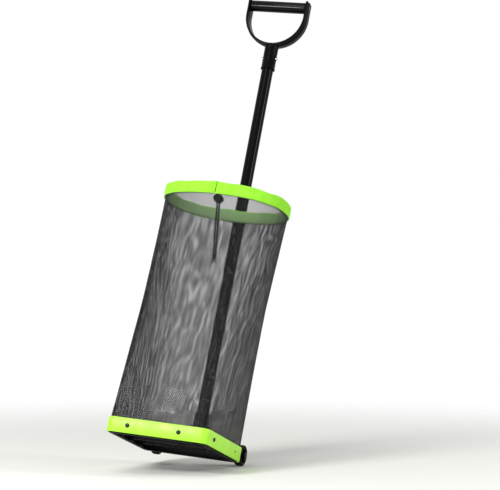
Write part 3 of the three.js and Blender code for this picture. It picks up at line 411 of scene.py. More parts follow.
def twistedTube(path, radius, lobes, pitch, sides, step, depth=0.2):
    # strands laid round each other, as one closed tube with a lobed section
    count = max(8, int(walked(path)[-1] / step))
    line = evenly(path, count)
    forward = unit(np.gradient(line, axis=0))
    side = unit(np.cross(forward[0], (0.31, 0.2, 0.93)))
    angles = np.arange(sides) * turn / sides
    rings = []
    for i, (spot, along) in enumerate(zip(line, walked(line))):
        side = unit(side - forward[i] * side.dot(forward[i]))
        other = np.cross(forward[i], side)
        phase = turn * along / pitch
        spread = radius * (1 - depth + depth * np.abs(np.cos(lobes * (angles - phase) / 2)))
        spread = spread * min(1.0, 0.55 + 0.3 * min(i, count - 1 - i))  # a melted, rounded end
        rings.append(spot + np.c_[spread * np.cos(angles), spread * np.sin(angles)] @ (side, other))
    return skinned(rings)


def yarnMaterial(name, roughness, shine, yarn, paintedGlints, dark, pale, depth):
    # black yarn with sparse pale spots painted into its colour: painted highlights where filaments would
    # catch the light
    material, tree, shader = newMaterial(name, roughness, shine)
    fibre = noiseAt(tree, *yarn)
    paintedGlint = maths(tree, "MULTIPLY", paintedGlintsAt(tree, *paintedGlints), ranged(tree, fibre, 0.3, 1, 0.4, 0.6))
    dressShader(tree, shader, colorBetween(tree, paintedGlint, dark, pale), fibre, depth)
    return material


# polyester cord: the twisted strands come from its shape, the yarn runs along them, with pale painted
# highlights scattered on the black
cordYarn = (0.5, 2, (1, 1, 0.35))
polyesterCord = yarnMaterial("polyesterCord", 0.55, 0.12, cordYarn, (3.0, 0.24), "#060607", "#c8c8c4", 0.15)


def makeTail(label):
    size, path = cordSizes, smoothRoute(tailRoutes[label], 36)
    shape = twistedTube(path, size["radius"], *cordTwist, size["sides"], size["ringStep"])
    tail = makePiece(f"drawcordTail_{label}", *shape, sharpAngle=60)
    dress(tail, "black_cord", polyesterCord, f"drawcord_tail_{label}")
    return tail, path


def makeKnot():
    # an overhand knot of both tails, drawn tight, with their two short ends below it
    sizes = {"wide": 3.05, "tall": 3.43, "cord": 1.62, "endCord": 1.55, "ends": 9.0, "endsDown": 3.6}
    angles = np.linspace(0, turn, 121)
    ring = sizes["wide"] * (2 + np.cos(3 * angles)) / 3
    line = np.c_[ring * np.cos(2 * angles), ring * np.sin(2 * angles), sizes["tall"] * np.sin(3 * angles)]
    at = axes(hangAcross, hangIn, hangUp, knotPlace)
    shapes = [twistedTube(moved(line, at), sizes["cord"], *cordTwist, 14, 0.6)]
    down = -sizes["endsDown"]
    for side in (-1, 1):
        end = [(side * 0.9, 0, down + 2.2), (side * 1.7, 0, down - 2), (side * 2.3, 0.1 * side, down - 5)]
        end.append((side * 2.7, 0.3 * side, down - sizes["ends"]))
        path = smoothRoute(moved(np.array(end, float), at), 16)
        shapes.append(twistedTube(path, sizes["endCord"], *cordTwist, 14, 0.55))
    knot = makePiece("drawcordKnot", *gathered(*shapes), sharpAngle=60)
    return dress(knot, "black_cord", polyesterCord, "drawcord_knot")


tails = {label: makeTail(label) for label in tailRoutes}
drawcordKnot = makeKnot()

print("stage: materials")


def surfaceMaterial(name, color, worn, roughness, shine, metallic, clouds, uneven, grain, depth):
    # clouds of tone, uneven gloss and a fine grain, each at its real size
    material, tree, shader = newMaterial(name, roughness, shine, metallic)
    tone = colorBetween(tree, ranged(tree, noiseAt(tree, *clouds), 0, 1), color, worn)
    size, low, high = uneven
    gloss = ranged(tree, noiseAt(tree, size, 2), roughness * low, roughness * high)
    dressShader(tree, shader, tone, noiseAt(tree, *grain), depth, Roughness=gloss)
    return material


def plasticMaterial(name, color, worn, roughness, grain, depth, shine):
    # moulded plastic: even colour, a faint grain from the mould and slightly uneven gloss
    even = ((22, 2), (14, 0.9, 1.12), (grain, 2))
    return surfaceMaterial(name, color, worn, roughness, shine, 0.0, *even, depth)


def metalMaterial(name, color, worn, roughness, metallic, size, depth, shine, stretch=(1, 1, 1)):
    # a metal part or its coating: slight clouds of tone, uneven gloss and a fine surface
    uneven = ((size * 3, 3), (size * 6, 0.88, 1.15), (size, 2, stretch))
    return surfaceMaterial(name, color, worn, roughness, shine, metallic, *uneven, depth)


def webbingMaterial(name, color, shade, inside):
    # woven webbing: cross ribs over fine lengthwise yarns; the inner face gets its own colour, on the lime
    # webbing a paler painted tone standing for light that reaches it through the net
    weaveSizes = {"rib": 0.9, "yarn": 0.7, "bump": 0.18, "innerFrom": 0.024, "innerAt": 0.03}
    material, tree, shader = newMaterial(name, 0.7, 0.15)
    place = addNode(tree, "ShaderNodeSeparateXYZ", {0: addNode(tree, "ShaderNodeUVMap")}).outputs
    waves = []
    for k, size in enumerate((weaveSizes["rib"], weaveSizes["yarn"])):
        waves.append(maths(tree, "SINE", maths(tree, "MULTIPLY", place[k], turn / (size * mm))))
    weave = ranged(tree, maths(tree, "MULTIPLY", *waves), 0, 1, -1, 1)
    cloud = maths(tree, "MULTIPLY", noiseAt(tree, 14, 3), 0.65)
    tone = maths(tree, "ADD", maths(tree, "MULTIPLY", weave, 0.35), cloud)
    outer = colorBetween(tree, ranged(tree, tone, 0, 1), shade, color)
    # the inner face: a painted paler colour standing in for light reaching it through the net
    turned = ranged(tree, place[1], 0, 1, weaveSizes["innerFrom"], weaveSizes["innerAt"])
    dressShader(tree, shader, colorBetween(tree, turned, outer, inside), weave, weaveSizes["bump"])
    return material


# polypropylene band: bright yellow-green, satin, hardly any grain
bandPlastic = plasticMaterial("polypropyleneGreen", "#b4f63c", "#a6ee32", 0.4, 1.6, 0.012, 0.4)
# glossy ABS of the grip bar and the axle caps: near black, sharp streaks of light
gripPlastic = plasticMaterial("glossyAbsBlack", "#020303", "#040505", 0.12, 3.0, 0.0006, 0.13)
# satin ABS of the yoke, its sleeve and the cord lock: the same black, softer streaks
yokePlastic = plasticMaterial("satinAbsBlack", "#020303", "#040505", 0.3, 3.0, 0.0006, 0.05)
# glass-filled nylon of the frame, the bracket and the hubs: dark, fine matt grain
frameNylon = plasticMaterial("filledNylonBlack", "#060707", "#0a0b0c", 0.48, 0.7, 0.015, 0.07)
# rubber tyre: dull black with dust in its grain
tyreRubber = plasticMaterial("wheelRubber", "#080808", "#11110f", 0.62, 0.8, 0.04, 0.12)
# sewing threads: lime along the hem, and a dark thread where the webbing's ends meet, whose dark colour
# also stands in for the shadow at the lapped edge
limeThread = plasticMaterial("limeSewingThread", "#8df02a", "#6fd411", 0.6, 0.4, 0.05, 0.3)
seamThreadAndShadow = plasticMaterial("darkSewingThread", "#1d3a10", "#10260a", 0.6, 0.4, 0.05, 0.2)
# powder-coated steel tube: black with the coating's fine orange peel
powderCoat = metalMaterial("powderCoatBlack", "#020303", "#050606", 0.2, 0.0, 1.4, 0.0006, 0.07)
# blackened screws: dark oxide with lighter random patches that stand both for driver wear and for painted
# highlights
blackOxide = metalMaterial("blackOxideSteel", "#0c0d0e", "#2c2d30", 0.27, 0.7, 0.8, 0.01, 0.4)
# coated spring wire: dark and even, faintly dimpled by the coating
springCoat = metalMaterial("coatedSpringWire", "#0b0c0d", "#171819", 0.3, 0.0, 0.6, 0.006, 0.3)
# nickel-plated pins, axle and washers: bright, with fine marks along them from turning
marks = (1, 1, 0.1)
nickelPlate = metalMaterial("nickelPlatedSteel", "#c9c9c6", "#b4b4b2", 0.22, 1.0, 0.8, 0.004, 0.5, marks)
# warp-knitted polyester net: black yarn with pale painted highlights at scattered spots
polyesterNet = yarnMaterial("polyesterNet", 0.5, 0.15, (0.9, 2), (3.2, 0.21), "#070708", "#c4c4c5", 0.12)
# woven webbing of the hem and of the pole loop: ribs catch the light; the lime inside is painted paler, as
# if lit through the net
limeWebbing = webbingMaterial("limePolyesterWebbing", "#aefa48", "#94f22a", "#b2dc98")
blackWebbing = webbingMaterial("blackPolyesterWebbing", "#101011", "#080809", "#0d0d0e")

print("stage: outlines")
bandSizes = {
    "width": 192.0, "depth": 190.0, "corner": 14.0, "wall": 2.2, "low": 1.6, "high": 28.0, "edge": 0.7,
}
mouthSizes = {"width": 230.0, "depth": 193.0, "x": 14.0, "y": 0.5, "roundness": 2.3}
bagSizes = {
    "low": 6.8, "high": 451.6, "hemLow": 444.0, "hemHigh": 466.0, "inset": 3.5, "mouthInset": 3.1,
    "across": 3.8, "up": 4.3, "hole": 0.705, "yarn": 0.5, "scatter": 0.25, "panels": 6,
}
foldSizes = {"fineFolds": 88, "fine": 0.42, "wideFolds": 17, "wide": 0.4, "sag": 1.0}
poleSizes = {
    "back": 110.0, "radius": 11.0, "wall": 1.5, "low": 29.3, "high": 794.6, "boltHigh": 58.0,
    "boltHole": 2.8,
}
hemTall = bagSizes["hemHigh"] - bagSizes["hemLow"]


def baseOutline(inset, cornerSteps=10, sideSteps=6):
    r = max(bandSizes["corner"] - inset, 0.5)
    x, y = (bandSizes[side] / 2 - inset - r for side in ("width", "depth"))
    arcs = []
    for across, back, start in ((x, -y, -90), (x, y, 0), (-x, y, 90), (-x, -y, 180)):
        angles = np.radians(np.linspace(start, start + 90, cornerSteps + 1))
        arcs.append(np.c_[across + r * np.cos(angles), back + r * np.sin(angles)])
    parts = []
    for arc, following in zip(arcs, arcs[1:] + arcs[:1]):
        parts += [arc, np.linspace(arc[-1], following[0], sideSteps + 1)[1:-1]]
    return np.vstack(parts) + (base["x"], base["y"])


def atHeight(outline, z):
    return np.c_[outline, np.full(len(outline), z)]


def mouthCurve(inset):
    def power(values, exponent):
        return np.sign(values) * np.abs(values) ** exponent

    angle = np.linspace(-math.pi / 2, 1.5 * math.pi, 1440, endpoint=False)
    n, half = mouthSizes["roundness"], np.array((mouthSizes["width"], mouthSizes["depth"])) / 2
    flat = power(np.c_[np.cos(angle), np.sin(angle)], 2 / n)
    out = unit(power(flat, n - 1) / half)
    return half * flat + (base["x"] + mouthSizes["x"], base["y"] + mouthSizes["y"]) - out * inset


def roundTheEdge(points):
    # a function that gives the place at a share of the way round, and the length of the way
    loop = np.vstack([points, points[:1]])
    steps = walked(loop)

    def at(share):
        return np.stack([np.interp((share % 1) * steps[-1], steps, loop[:, k]) for k in (0, 1)], -1)

    return at, steps[-1]


def mouthAt(inset):
    return roundTheEdge(mouthCurve(inset))


def outwardOf(at, share):
    # the outward direction of an outline at a share of the way round
    ahead = at(share + 1e-3) - at(share - 1e-3)
    return unit(np.stack([ahead[..., 1], -ahead[..., 0]], -1))


def fromFrontMiddle(points):
    # the same outline, starting at the middle of the front side
    middle = np.array([[base["x"], points[:, 1].min()]])
    angle = np.arctan2(points[:, 1] - base["y"], points[:, 0] - base["x"]) + math.pi / 2
    return np.vstack([middle, points[np.argsort(angle % turn)]])


def riseAt(height):
    # from 0 at the band's top to 1 at the hem
    return (height - bandSizes["high"]) / (bagSizes["hemLow"] - bandSizes["high"])


def bagSurface(share, height):
    # the bag's cloth at a share of the way round and a height in mm, with its outward direction
    lowAt, _ = roundTheEdge(fromFrontMiddle(baseOutline(bagSizes["inset"], 24, 40)))
    highAt, _ = mouthAt(bagSizes["mouthInset"])
    blend = np.clip(riseAt(height), 0, 1)[..., None]

    def at(s):
        return lowAt(s) * (1 - blend) + highAt(s) * blend

    return at(share), outwardOf(at, share)


def fadedEnds(rise, low, high):
    # 1 along the cloth, 0 at its lower and upper ends
    return np.clip(rise / low, 0, 1) * np.clip((1 - rise) / high, 0, 1)


def ripple(share, height):
    # slack cloth: fine upright folds that grow towards the hem, over a few wide soft ones
    f, rise = foldSizes, riseAt(height)
    lean = share + 0.01 * np.sin(5 * rise) + 0.004 * np.sin(turn * 5 * share)
    fine = np.sin(turn * f["fineFolds"] * lean + 1.6 * np.sin(turn * 9 * share + 2 * rise))
    fine = f["fine"] * fine * (0.5 + 0.5 * np.sin(turn * 13 * share + 4 * rise))
    wide = f["wide"] * np.sin(turn * f["wideFolds"] * lean + 1.3 * np.sin(turn * 3 * share))
    sag = f["sag"] * np.sin(math.pi * np.clip(rise, 0, 1)) * (0.6 + 0.4 * np.cos(turn * 4 * share))
    return fadedEnds(rise, 0.08, 0.05) * (fine * (0.25 + 0.9 * rise) + wide * (0.3 + 0.7 * rise) - sag)


print("stage: bag")


def netTree():
    # each diamond of cloth becomes four strands round a hole, and the strands get their thickness
    tree, given = newTree("netHoles", {"Cloth": "Geometry", "Hole": "Float", "Yarn": "Float"})
    flat = {"Mesh": given["Cloth"], "Offset Scale": 0.0, "Individual": True}
    inset = addNode(tree, "GeometryNodeExtrudeMesh", flat).outputs
    shrunk = {"Geometry": inset["Mesh"], "Selection": inset["Top"], "Scale": given["Hole"]}
    cut = {"Geometry": addNode(tree, "GeometryNodeScaleElements", shrunk), "Selection": inset["Top"]}
    strands = addNode(tree, "GeometryNodeDeleteGeometry", cut, domain="FACE").outputs[0]
    thick = {"Mesh": strands, "Offset Scale": given["Yarn"], "Individual": False}
    outer = addNode(tree, "GeometryNodeExtrudeMesh", thick).outputs["Mesh"]
    both = addNode(tree, "GeometryNodeJoinGeometry")
    for side in (addNode(tree, "GeometryNodeFlipFaces", {"Mesh": strands}).outputs[0], outer):
        tree.links.new(side, both.inputs[0])
    whole = addNode(tree, "GeometryNodeMergeByDistance", {"Geometry": both, "Distance": 0.02 * mm})
    return finishedTree(tree, given, whole)


def knotShift(i, j, around, tall):
    # knots lie a little out of line: fine sideways ripples and a seeded scatter, none at the bag's ends
    share, rise = i / around, j / tall
    way = turn * share
    aside = 0.6 * np.sin(71 * way + 2.5 * np.sin(5 * way + 3 * rise)) + 0.5 * np.sin(31 * way + 4 * rise)
    aside = aside + 0.5 * np.sin(turn * 6 * rise + 4 * way)
    lift = 0.5 * np.sin(7 * way + turn * 9 * rise) + 0.3 * np.sin(43 * way)
    off = bagSizes["scatter"]
    scatter = np.random.default_rng(7).uniform(-off, off, (2, around, tall + 1))
    free = fadedEnds(rise, 0.1, 0.04)
    return free * (aside + scatter[0][i % around, j]), free * (lift + scatter[1][i % around, j])


def makeBag():
    size = bagSizes
    perimeter, count = mouthAt(size["mouthInset"])[1], size["panels"]
    around = 2 * count * int(round(perimeter / size["across"] / count))
    tall = 2 * int(round((size["high"] - size["low"]) / size["up"]))
    tree = netTree()
    for k in range(count):
        i = np.arange(around * k // count - 1, around * (k + 1) // count + 2)
        gridI, gridJ = np.meshgrid(i, np.arange(0, tall + 1), indexing="ij")
        aside, lift = knotShift(gridI, gridJ, around, tall)
        share = gridI / around + aside / perimeter
        height = size["low"] + (size["high"] - size["low"]) * gridJ / tall + lift
        here, out = bagSurface(share, height)
        here = here + out * (ripple(share, height)[..., None] - size["yarn"] / 2)
        points = np.concatenate([here, height[..., None]], -1).reshape(-1, 3)
        number = np.arange(len(points)).reshape(gridI.shape)
        a, b = np.array([(a, b) for a in range(1, len(i) - 2) for b in range(1, tall) if (i[a] + b) % 2]).T
        diamonds = np.stack([number[a - 1, b], number[a, b - 1], number[a + 1, b], number[a, b + 1]], 1)
        used, faces = np.unique(diamonds, return_inverse=True)
        faces = faces.reshape(-1, 4).tolist()
        panel = makePiece(f"bagNet_{k + 1}", points[used], faces, 180, recalculate=False)
        values = {"Hole": size["hole"], "Yarn": size["yarn"] * mm, "Material": polyesterNet}
        shadeByAngle(withTree(panel, tree, values), 50)
        dress(panel, "black_mesh", polyesterNet, "mesh_bag")
        print("  net panel", k + 1, len(panel.data.polygons), "faces")


makeBag()

print("stage: hem")
hemSizes = {
    "thick": 6.2, "skin": 0.9, "throat": 9.0, "fold": 3.1, "seamX": 26.0, "window": 16.0, "lap": 9.0,
    "step": 0.45, "around": 230, "cordHigh": 462.9, "cordGap": 8.8, "bulge": 1.1, "lift": 1.5,
}
stitchSizes = {"low": 2.4, "high": 10.5, "long": 2.5, "spacing": 3.4, "thread": 0.5}
seamSizes = {"radius": 0.75, "from": 0.08, "to": 0.95, "lean": 1.6, "aside": 0.4}


def hemSection():
    # inset from the hem's outside and height, once round the folded webbing
    t, skin, fold = hemSizes["thick"], hemSizes["skin"], hemSizes["fold"]
    low, high = bagSizes["hemLow"], bagSizes["hemHigh"]
    throat, shoulder, top = 1.75, low + hemSizes["throat"], high - skin - 0.4
    rows = (hemTall - fold - 0.3) / 5
    outer = [(0.25, low)] + [(0.0, low + 0.3 + s * rows) for s in range(6)]
    angles = [math.pi * s / 9 for s in range(1, 9)]
    over = [(t / 2 - t / 2 * math.cos(a), high - fold + fold * math.sin(a)) for a in angles]
    inner = [(t, high - fold - s * rows) for s in range(6)] + [(t - 0.25, low)]
    inside = [(throat, low), (throat, shoulder), (skin, shoulder + 0.4), (skin, high - fold - 0.3)]
    inside.append((t / 2 - 1.2, top))
    return outer + over + inner + [(t - inset, z) for inset, z in inside] + inside[::-1]


def nearestOn(line, x, front=True):
    # which point of an outline lies at x, on its front or its rear half
    half = (line[:, 1] < base["y"] + mouthSizes["y"]) == front
    return np.argmin(np.where(half, np.abs(line[:, 0] - base["x"] - x), np.inf))


def hemWave(shares, rise):
    # the soft webbing bulges in and out and lifts a little, more towards its free upper edge
    s = turn * shares
    bulge = 0.4 * np.sin(5 * s + 1) + 0.4 * np.sin(11 * s) + 0.3 * np.sin(19 * s + 2) + 0.2 * np.sin(31 * s)
    lift = 0.4 * np.sin(4 * s + 0.6) + 0.4 * np.sin(9 * s + 2) + 0.25 * np.sin(17 * s)
    return bulge * (0.5 + 0.5 * rise) * hemSizes["bulge"], lift * (0.25 + 0.75 * rise) * hemSizes["lift"]


def hemPlaces(shares, inset, rise, proud=0.0):
    # places on the webbing at an inset from its outside and a share of its height
    bulge, lift = hemWave(shares, rise)
    flat = mouthAt(inset)[0](shares) + outwardOf(mouthPlaceAt, shares) * (bulge + proud)[:, None]
    return np.c_[flat, bagSizes["hemLow"] + hemTall * rise + lift]


def clothPlaces(obj, places):
    # the webbing's own length and height at each point, in metres, for its weave
    layer = obj.data.uv_layers.new(name="cloth")
    for corner in obj.data.loops:
        layer.data[corner.index].uv = places[corner.vertex_index]


samples = np.linspace(0, 1, 4001)
mouthPlaceAt, mouthLength = mouthAt(0)
seamShare = samples[nearestOn(mouthPlaceAt(samples), hemSizes["seamX"])]  # where the webbing's ends overlap


def makeHem():
    s = hemSizes
    shares = np.linspace(0, 1, s["around"], endpoint=False)
    edge, lap = 0.1 / mouthLength, s["lap"] / mouthLength
    marks = [seamShare - edge, seamShare + edge, seamShare + lap]
    kept = {v for v in shares if min(abs(v - m) for m in marks) > 6 * edge}
    shares = np.array(sorted(kept | set(marks)))
    onLap = (shares > seamShare) & (shares < seamShare + lap)
    section = hemSection()
    rings, uv = [], []
    for k, ((inset, z), along) in enumerate(zip(section, walked(section))):
        proud = s["step"] * onLap * (inset < 1.0) * (k < 16)  # the outer end laps over the inner one
        rings.append(hemPlaces(shares, inset, (z - bagSizes["hemLow"]) / hemTall, proud))
        uv.append(np.c_[shares * mouthLength, np.full(len(shares), along)] * mm)
    hem = makePiece("topHem", *skinned(rings, closed=True), sharpAngle=50)
    clothPlaces(hem, np.vstack(uv))
    channel = mouthAt(s["thick"] / 2)[0](samples)
    x, y = channel[nearestOn(channel, s["seamX"])]
    low = (x - s["window"] / 2, y + 0.3, bagSizes["hemLow"] - 3)
    high = (x + s["window"] / 2, y + s["thick"] + 1.5, bagSizes["hemHigh"] - 1)
    carved(hem, blockShape(low, high), sharpAngle=50)
    dress(hem, "green_webbing", limeWebbing, "top_hem")


makeHem()


def stitchTree():
    # short stitches laid along a line, each a small rounded bar that follows the line
    kinds = {"Line": "Geometry", "Spacing": "Float", "Length": "Float", "Thread": "Float"}
    tree, given = newTree("stitches", kinds)
    curve = addNode(tree, "GeometryNodeMeshToCurve", {"Mesh": given["Line"]})
    spaced = {"Curve": curve, "Length": given["Spacing"]}
    spots = addNode(tree, "GeometryNodeCurveToPoints", spaced, mode="LENGTH").outputs
    bar = addNode(tree, "GeometryNodeMeshIcoSphere", {"Radius": 1.0, "Subdivisions": 1})
    half, thread = (maths(tree, "MULTIPLY", given[name], 0.5) for name in ("Length", "Thread"))
    size = addNode(tree, "ShaderNodeCombineXYZ", {"X": thread, "Y": thread, "Z": half})
    laying = {"Points": spots["Points"], "Instance": bar, "Rotation": spots["Rotation"], "Scale": size}
    return finishedTree(tree, given, addNode(tree, "GeometryNodeInstanceOnPoints", laying))


def makeStitches():
    tree, s = stitchTree(), stitchSizes
    shares = np.linspace(0, 1, 360, endpoint=False)
    values = {"Spacing": s["spacing"] * mm, "Length": s["long"] * mm, "Thread": s["thread"] * mm}
    for label in ("low", "high"):
        row = lineObject(f"hemStitches_{label}", hemPlaces(shares, -0.02, s[label] / hemTall))
        withTree(row, tree, values | {"Material": limeThread})
        dress(row, "green_webbing", limeThread)


def makeSeam():
    # the dark thread that closes the overlap of the webbing's ends, a little aslant; its dark colour also
    # stands in for the shadow along the lapped edge
    s = seamSizes
    rises = np.linspace(s["from"], s["to"], 12)
    shares = seamShare + ((rises - 0.5) * s["lean"] - s["aside"]) / mouthLength
    shape = twistedTube(hemPlaces(shares, -0.05, rises), s["radius"], 2, 2.5, 10, 0.6)
    dress(makePiece("hemSeam", *shape, sharpAngle=60), "green_webbing", seamThreadAndShadow)


def makeCordInHem():
    # the stretch of drawcord in the hem's channel, from one end of its slot round to the other
    at, perimeter = mouthAt(hemSizes["thick"] / 2)
    gap = hemSizes["cordGap"] / perimeter
    line = atHeight(at(np.linspace(seamShare + gap, seamShare + 1 - gap, 200)), hemSizes["cordHigh"])
    shape = twistedTube(line, cordSizes["diameter"] / 2, *cordTwist, 12, 1.0)
    cord = makePiece("drawcordInHem", *shape, sharpAngle=60)
    dress(cord, "black_cord", polyesterCord, "drawcord_in_hem")


makeStitches()
makeSeam()
makeCordInHem()
loopSizes = {"thick": 1.4, "low": 446.0, "tall": 18.0, "slack": 0.6, "flap": 11.0, "bend": 5.0, "edge": 0.3}


def makePoleLoop():
    # black webbing sewn to the hem's rear and slipped round the pole
    size = loopSizes
    half, tall, e = size["thick"] / 2, size["tall"], size["edge"]
    radius = poleSizes["radius"] + size["slack"] + half
    rear = mouthCurve(-0.3 - half)

    def flap(side):
        # from the flap's end to where the webbing leaves the hem
        reach = [radius + size["bend"] + size["flap"] * s for s in (1, 0.66, 0.33, 0)]
        return [rear[nearestOn(rear, side * x, front=False)] for x in reach]

    angles = np.linspace(math.pi, 0, 25)
    middle = np.array(onBase(0, poleSizes["back"], 0)[:2])
    line = np.vstack([flap(-1), middle + radius * np.c_[np.cos(angles), np.sin(angles)], flap(1)[::-1]])
    ahead = np.gradient(line, axis=0)
    side = unit(np.c_[-ahead[:, 1], ahead[:, 0]])
    section = [(-half, e), (-half, tall - e), (e - half, tall), (half - e, tall)]
    section += [(half, tall - e), (half, e), (half - e, 0), (e - half, 0)]
    off, up = np.array(section).T
    rings = [np.c_[p + np.outer(off, s), size["low"] + up] for p, s in zip(line, side)]
    loop = makePiece("poleLoop", *skinned(rings), sharpAngle=50)
    clothPlaces(loop, np.vstack([np.c_[np.full(len(up), along), up] * mm for along in walked(line)]))
    dress(loop, "black_cord", blackWebbing, "pole_loop")


makePoleLoop()

print("stage: base")


def makeBand():
    s, e = bandSizes, bandSizes["edge"]
    wall, low, high = s["wall"], s["low"], s["high"]
    section = [(0, low + e), (0, high - e), (e * 0.3, high - e * 0.3), (e, high), (wall - e * 0.6, high)]
    section += [(wall, high - e * 0.6), (wall, low + e * 0.6), (wall - e * 0.6, low), (e, low)]
    section.append((e * 0.3, low + e * 0.3))
    rings = [atHeight(baseOutline(inset, 14, 8), z) for inset, z in section]
    band = makePiece("lowerBand", *skinned(rings, closed=True), sharpAngle=50)
    dress(band, "green_band", bandPlastic, "lower_band")


makeBand()
frameSizes = {
    "out": 4.8, "in": 9.4, "high": 25.0, "edge": 1.0, "ledge": 3.2, "ledgeHigh": 3.0, "fillet": 1.6,
}
springSizes = {
    "spacing": 45.0, "height": 9.6, "outer": 9.0, "wire": 1.7, "pitch": 3.9, "tail": 5.3, "seat": 2.7,
    "lugLong": 7.0, "lugWide": 12.0, "lugLow": 1.4, "bore": 1.15, "boreDeep": 4.6, "stepsPerCurl": 20,
}
frameInner = bandSizes["width"] / 2 - frameSizes["in"]
springHalf = frameInner - springSizes["seat"]


def makeFrame():
    s, p = frameSizes, springSizes
    out, inner, high, e = s["out"], s["in"], s["high"], s["edge"]
    ledge, up = inner + s["ledge"], s["ledgeHigh"]
    section = [(out, e), (out, high - e), (out + e, high), (inner - e, high), (inner, high - e)]
    section += [(inner, up + s["fillet"]), (inner + 1.2, up + 0.4), (ledge - 0.5, up), (ledge, up - 0.5)]
    section += [(ledge, 0.5), (ledge - 0.5, 0), (out + e, 0)]
    rings = [atHeight(baseOutline(inset, 10, 6), z) for inset, z in section]
    body = makePiece("baseFrame", *skinned(rings, closed=True), sharpAngle=40)
    shapes, bores = [], []
    half = p["lugWide"] / 2
    arch = [(half * math.cos(a), p["height"] + half * math.sin(a)) for a in np.linspace(0, math.pi, 17)]
    outline = [(-half, p["lugLow"]), (half, p["lugLow"])] + arch
    for sign in (-1, 1):
        for k in (-1, 0, 1):
            across = sign * (frameInner - p["lugLong"])
            at = axes((0, sign, 0), (0, 0, 1), (sign, 0, 0), onBase(across, k * p["spacing"], 0))
            shapes.append(prismShape(outline, 0, p["lugLong"] + 2, at))
            at = alongX(onBase(across, k * p["spacing"], p["height"]), sign)
            bores.append(plug(p["bore"], -1, p["boreDeep"], 20, at))
    lugs = carved(beveled(makePiece("frameLugs", *gathered(*shapes)), 0.5), *bores)
    dress(body, "black_moulding", frameNylon, "base_frame")
    dress(lugs, "black_moulding", frameNylon)


makeFrame()


def springTree():
    # a wire wound round a straight line: open curls with straight ends that run into their lugs
    kinds = {
        "Wire line": "Geometry", "Curls": "Float", "Coil radius": "Float", "Wire radius": "Float",
        "Steps": "Int", "Tail": "Float",
    }
    tree, given = newTree("pickupSpring", kinds)

    def times(*values):
        return maths(tree, "MULTIPLY", *values)

    curve = addNode(tree, "GeometryNodeMeshToCurve", {"Mesh": given["Wire line"]})
    fine = addNode(tree, "GeometryNodeResampleCurve", {"Curve": curve, "Count": given["Steps"]})
    share = addNode(tree, "GeometryNodeSplineParameter").outputs["Factor"]
    run = ranged(tree, share, 0, 1, given["Tail"], maths(tree, "SUBTRACT", 1.0, given["Tail"]))
    curls = times(run, given["Curls"])
    nearest = maths(tree, "MINIMUM", curls, maths(tree, "SUBTRACT", given["Curls"], curls))
    radius = times(maths(tree, "MINIMUM", times(nearest, 2.0), 1.0), given["Coil radius"])
    angle = times(curls, turn)
    aside = times(radius, maths(tree, "SINE", angle))
    down = times(times(radius, maths(tree, "COSINE", angle)), -1.0)
    shift = addNode(tree, "ShaderNodeCombineXYZ", {"Y": aside, "Z": down})
    wound = addNode(tree, "GeometryNodeSetPosition", {"Geometry": fine, "Offset": shift})
    circle = {"Resolution": 10, "Radius": given["Wire radius"]}
    ring = addNode(tree, "GeometryNodeCurvePrimitiveCircle", circle)
    wire = {"Curve": wound, "Profile Curve": ring, "Fill Caps": True}
    return finishedTree(tree, given, addNode(tree, "GeometryNodeCurveToMesh", wire))


def makeSprings():
    p = springSizes
    tree, wide = springTree(), 2 * springHalf
    curls = round((wide - 2 * p["tail"]) / p["pitch"])
    values = {"Curls": float(curls), "Steps": curls * p["stepsPerCurl"], "Tail": p["tail"] / wide}
    values |= {"Coil radius": (p["outer"] - p["wire"]) / 2 * mm, "Wire radius": p["wire"] / 2 * mm}
    for k, label in enumerate(("front", "middle", "rear")):
        ends = [onBase(sign * springHalf, (k - 1) * p["spacing"], p["height"]) for sign in (-1, 1)]
        spring = lineObject(f"pickupSpring_{label}", ends, closed=False)
        shadeByAngle(withTree(spring, tree, values | {"Material": springCoat}), 60)
        dress(spring, "spring_steel", springCoat, f"pickup_spring_{label}")
        print("  spring", label, len(spring.data.polygons), "faces")


makeSprings()


def panHead(radius, height, shank, length, recess):
    # a pan head with a cross or six-sided recess, on a plain shank along -Z
    profile = [(0, -length), (shank / 2 - 0.2, -length), (shank / 2, -length + 0.3), (shank / 2, 0)]
    profile += [(radius - 0.15, 0), (radius, 0.15)]
    dome = ((1, 0.45), (0.93, 0.68), (0.76, 0.86), (0.5, 0.96), (0, 1))
    profile += [(radius * r, height * z) for r, z in dome]
    head = turnedPiece("headShape", profile, 32)
    if recess == "cross":
        arm, half, low = radius * 0.66, radius * 0.16, height * 0.3
        for a, b in ((arm, half), (half, arm)):
            carved(head, blockShape((-a, -b, low), (a, b, height + 1)))
        return head
    six = [(radius * 0.42 * math.cos(a), radius * 0.42 * math.sin(a)) for a in np.arange(6) * turn / 6]
    return carved(head, prismShape(six, height * 0.25, height + 1, np.eye(4)))


def copiesTree():
    # one shape laid on each point, turned as the point's own attribute says
    tree, given = newTree("copiesOnPoints", {"Points": "Geometry", "Shape": "Object"})
    shape = addNode(tree, "GeometryNodeObjectInfo", {"Object": given["Shape"], "As Instance": True})
    facing = addNode(tree, "GeometryNodeInputNamedAttribute", {"Name": "facing"}, data_type="FLOAT_VECTOR")
    towards = addNode(tree, "FunctionNodeAlignRotationToVector", {"Vector": facing}, axis="Z")
    laying = {"Points": given["Points"], "Instance": shape.outputs["Geometry"], "Rotation": towards}
    return finishedTree(tree, given, addNode(tree, "GeometryNodeInstanceOnPoints", laying))


copying = copiesTree()


def makeFixings(name, shape, spots, *nodes):
    # the same screw at every spot: a place and the direction its head faces
    mesh = bpy.data.meshes.new(name)
    mesh.from_pydata([tuple(c * mm for c in place) for place, _ in spots], [], [])
    facing = mesh.attributes.new("facing", "FLOAT_VECTOR", "POINT")
    for k, (_, way) in enumerate(spots):
        facing.data[k].vector = way
    obj = withTree(newObject(name, mesh), copying, {"Shape": shape, "Material": blackOxide})
    bpy.data.objects.remove(shape)
    dress(shadeByAngle(obj, 35), "black_screw", blackOxide, *nodes)


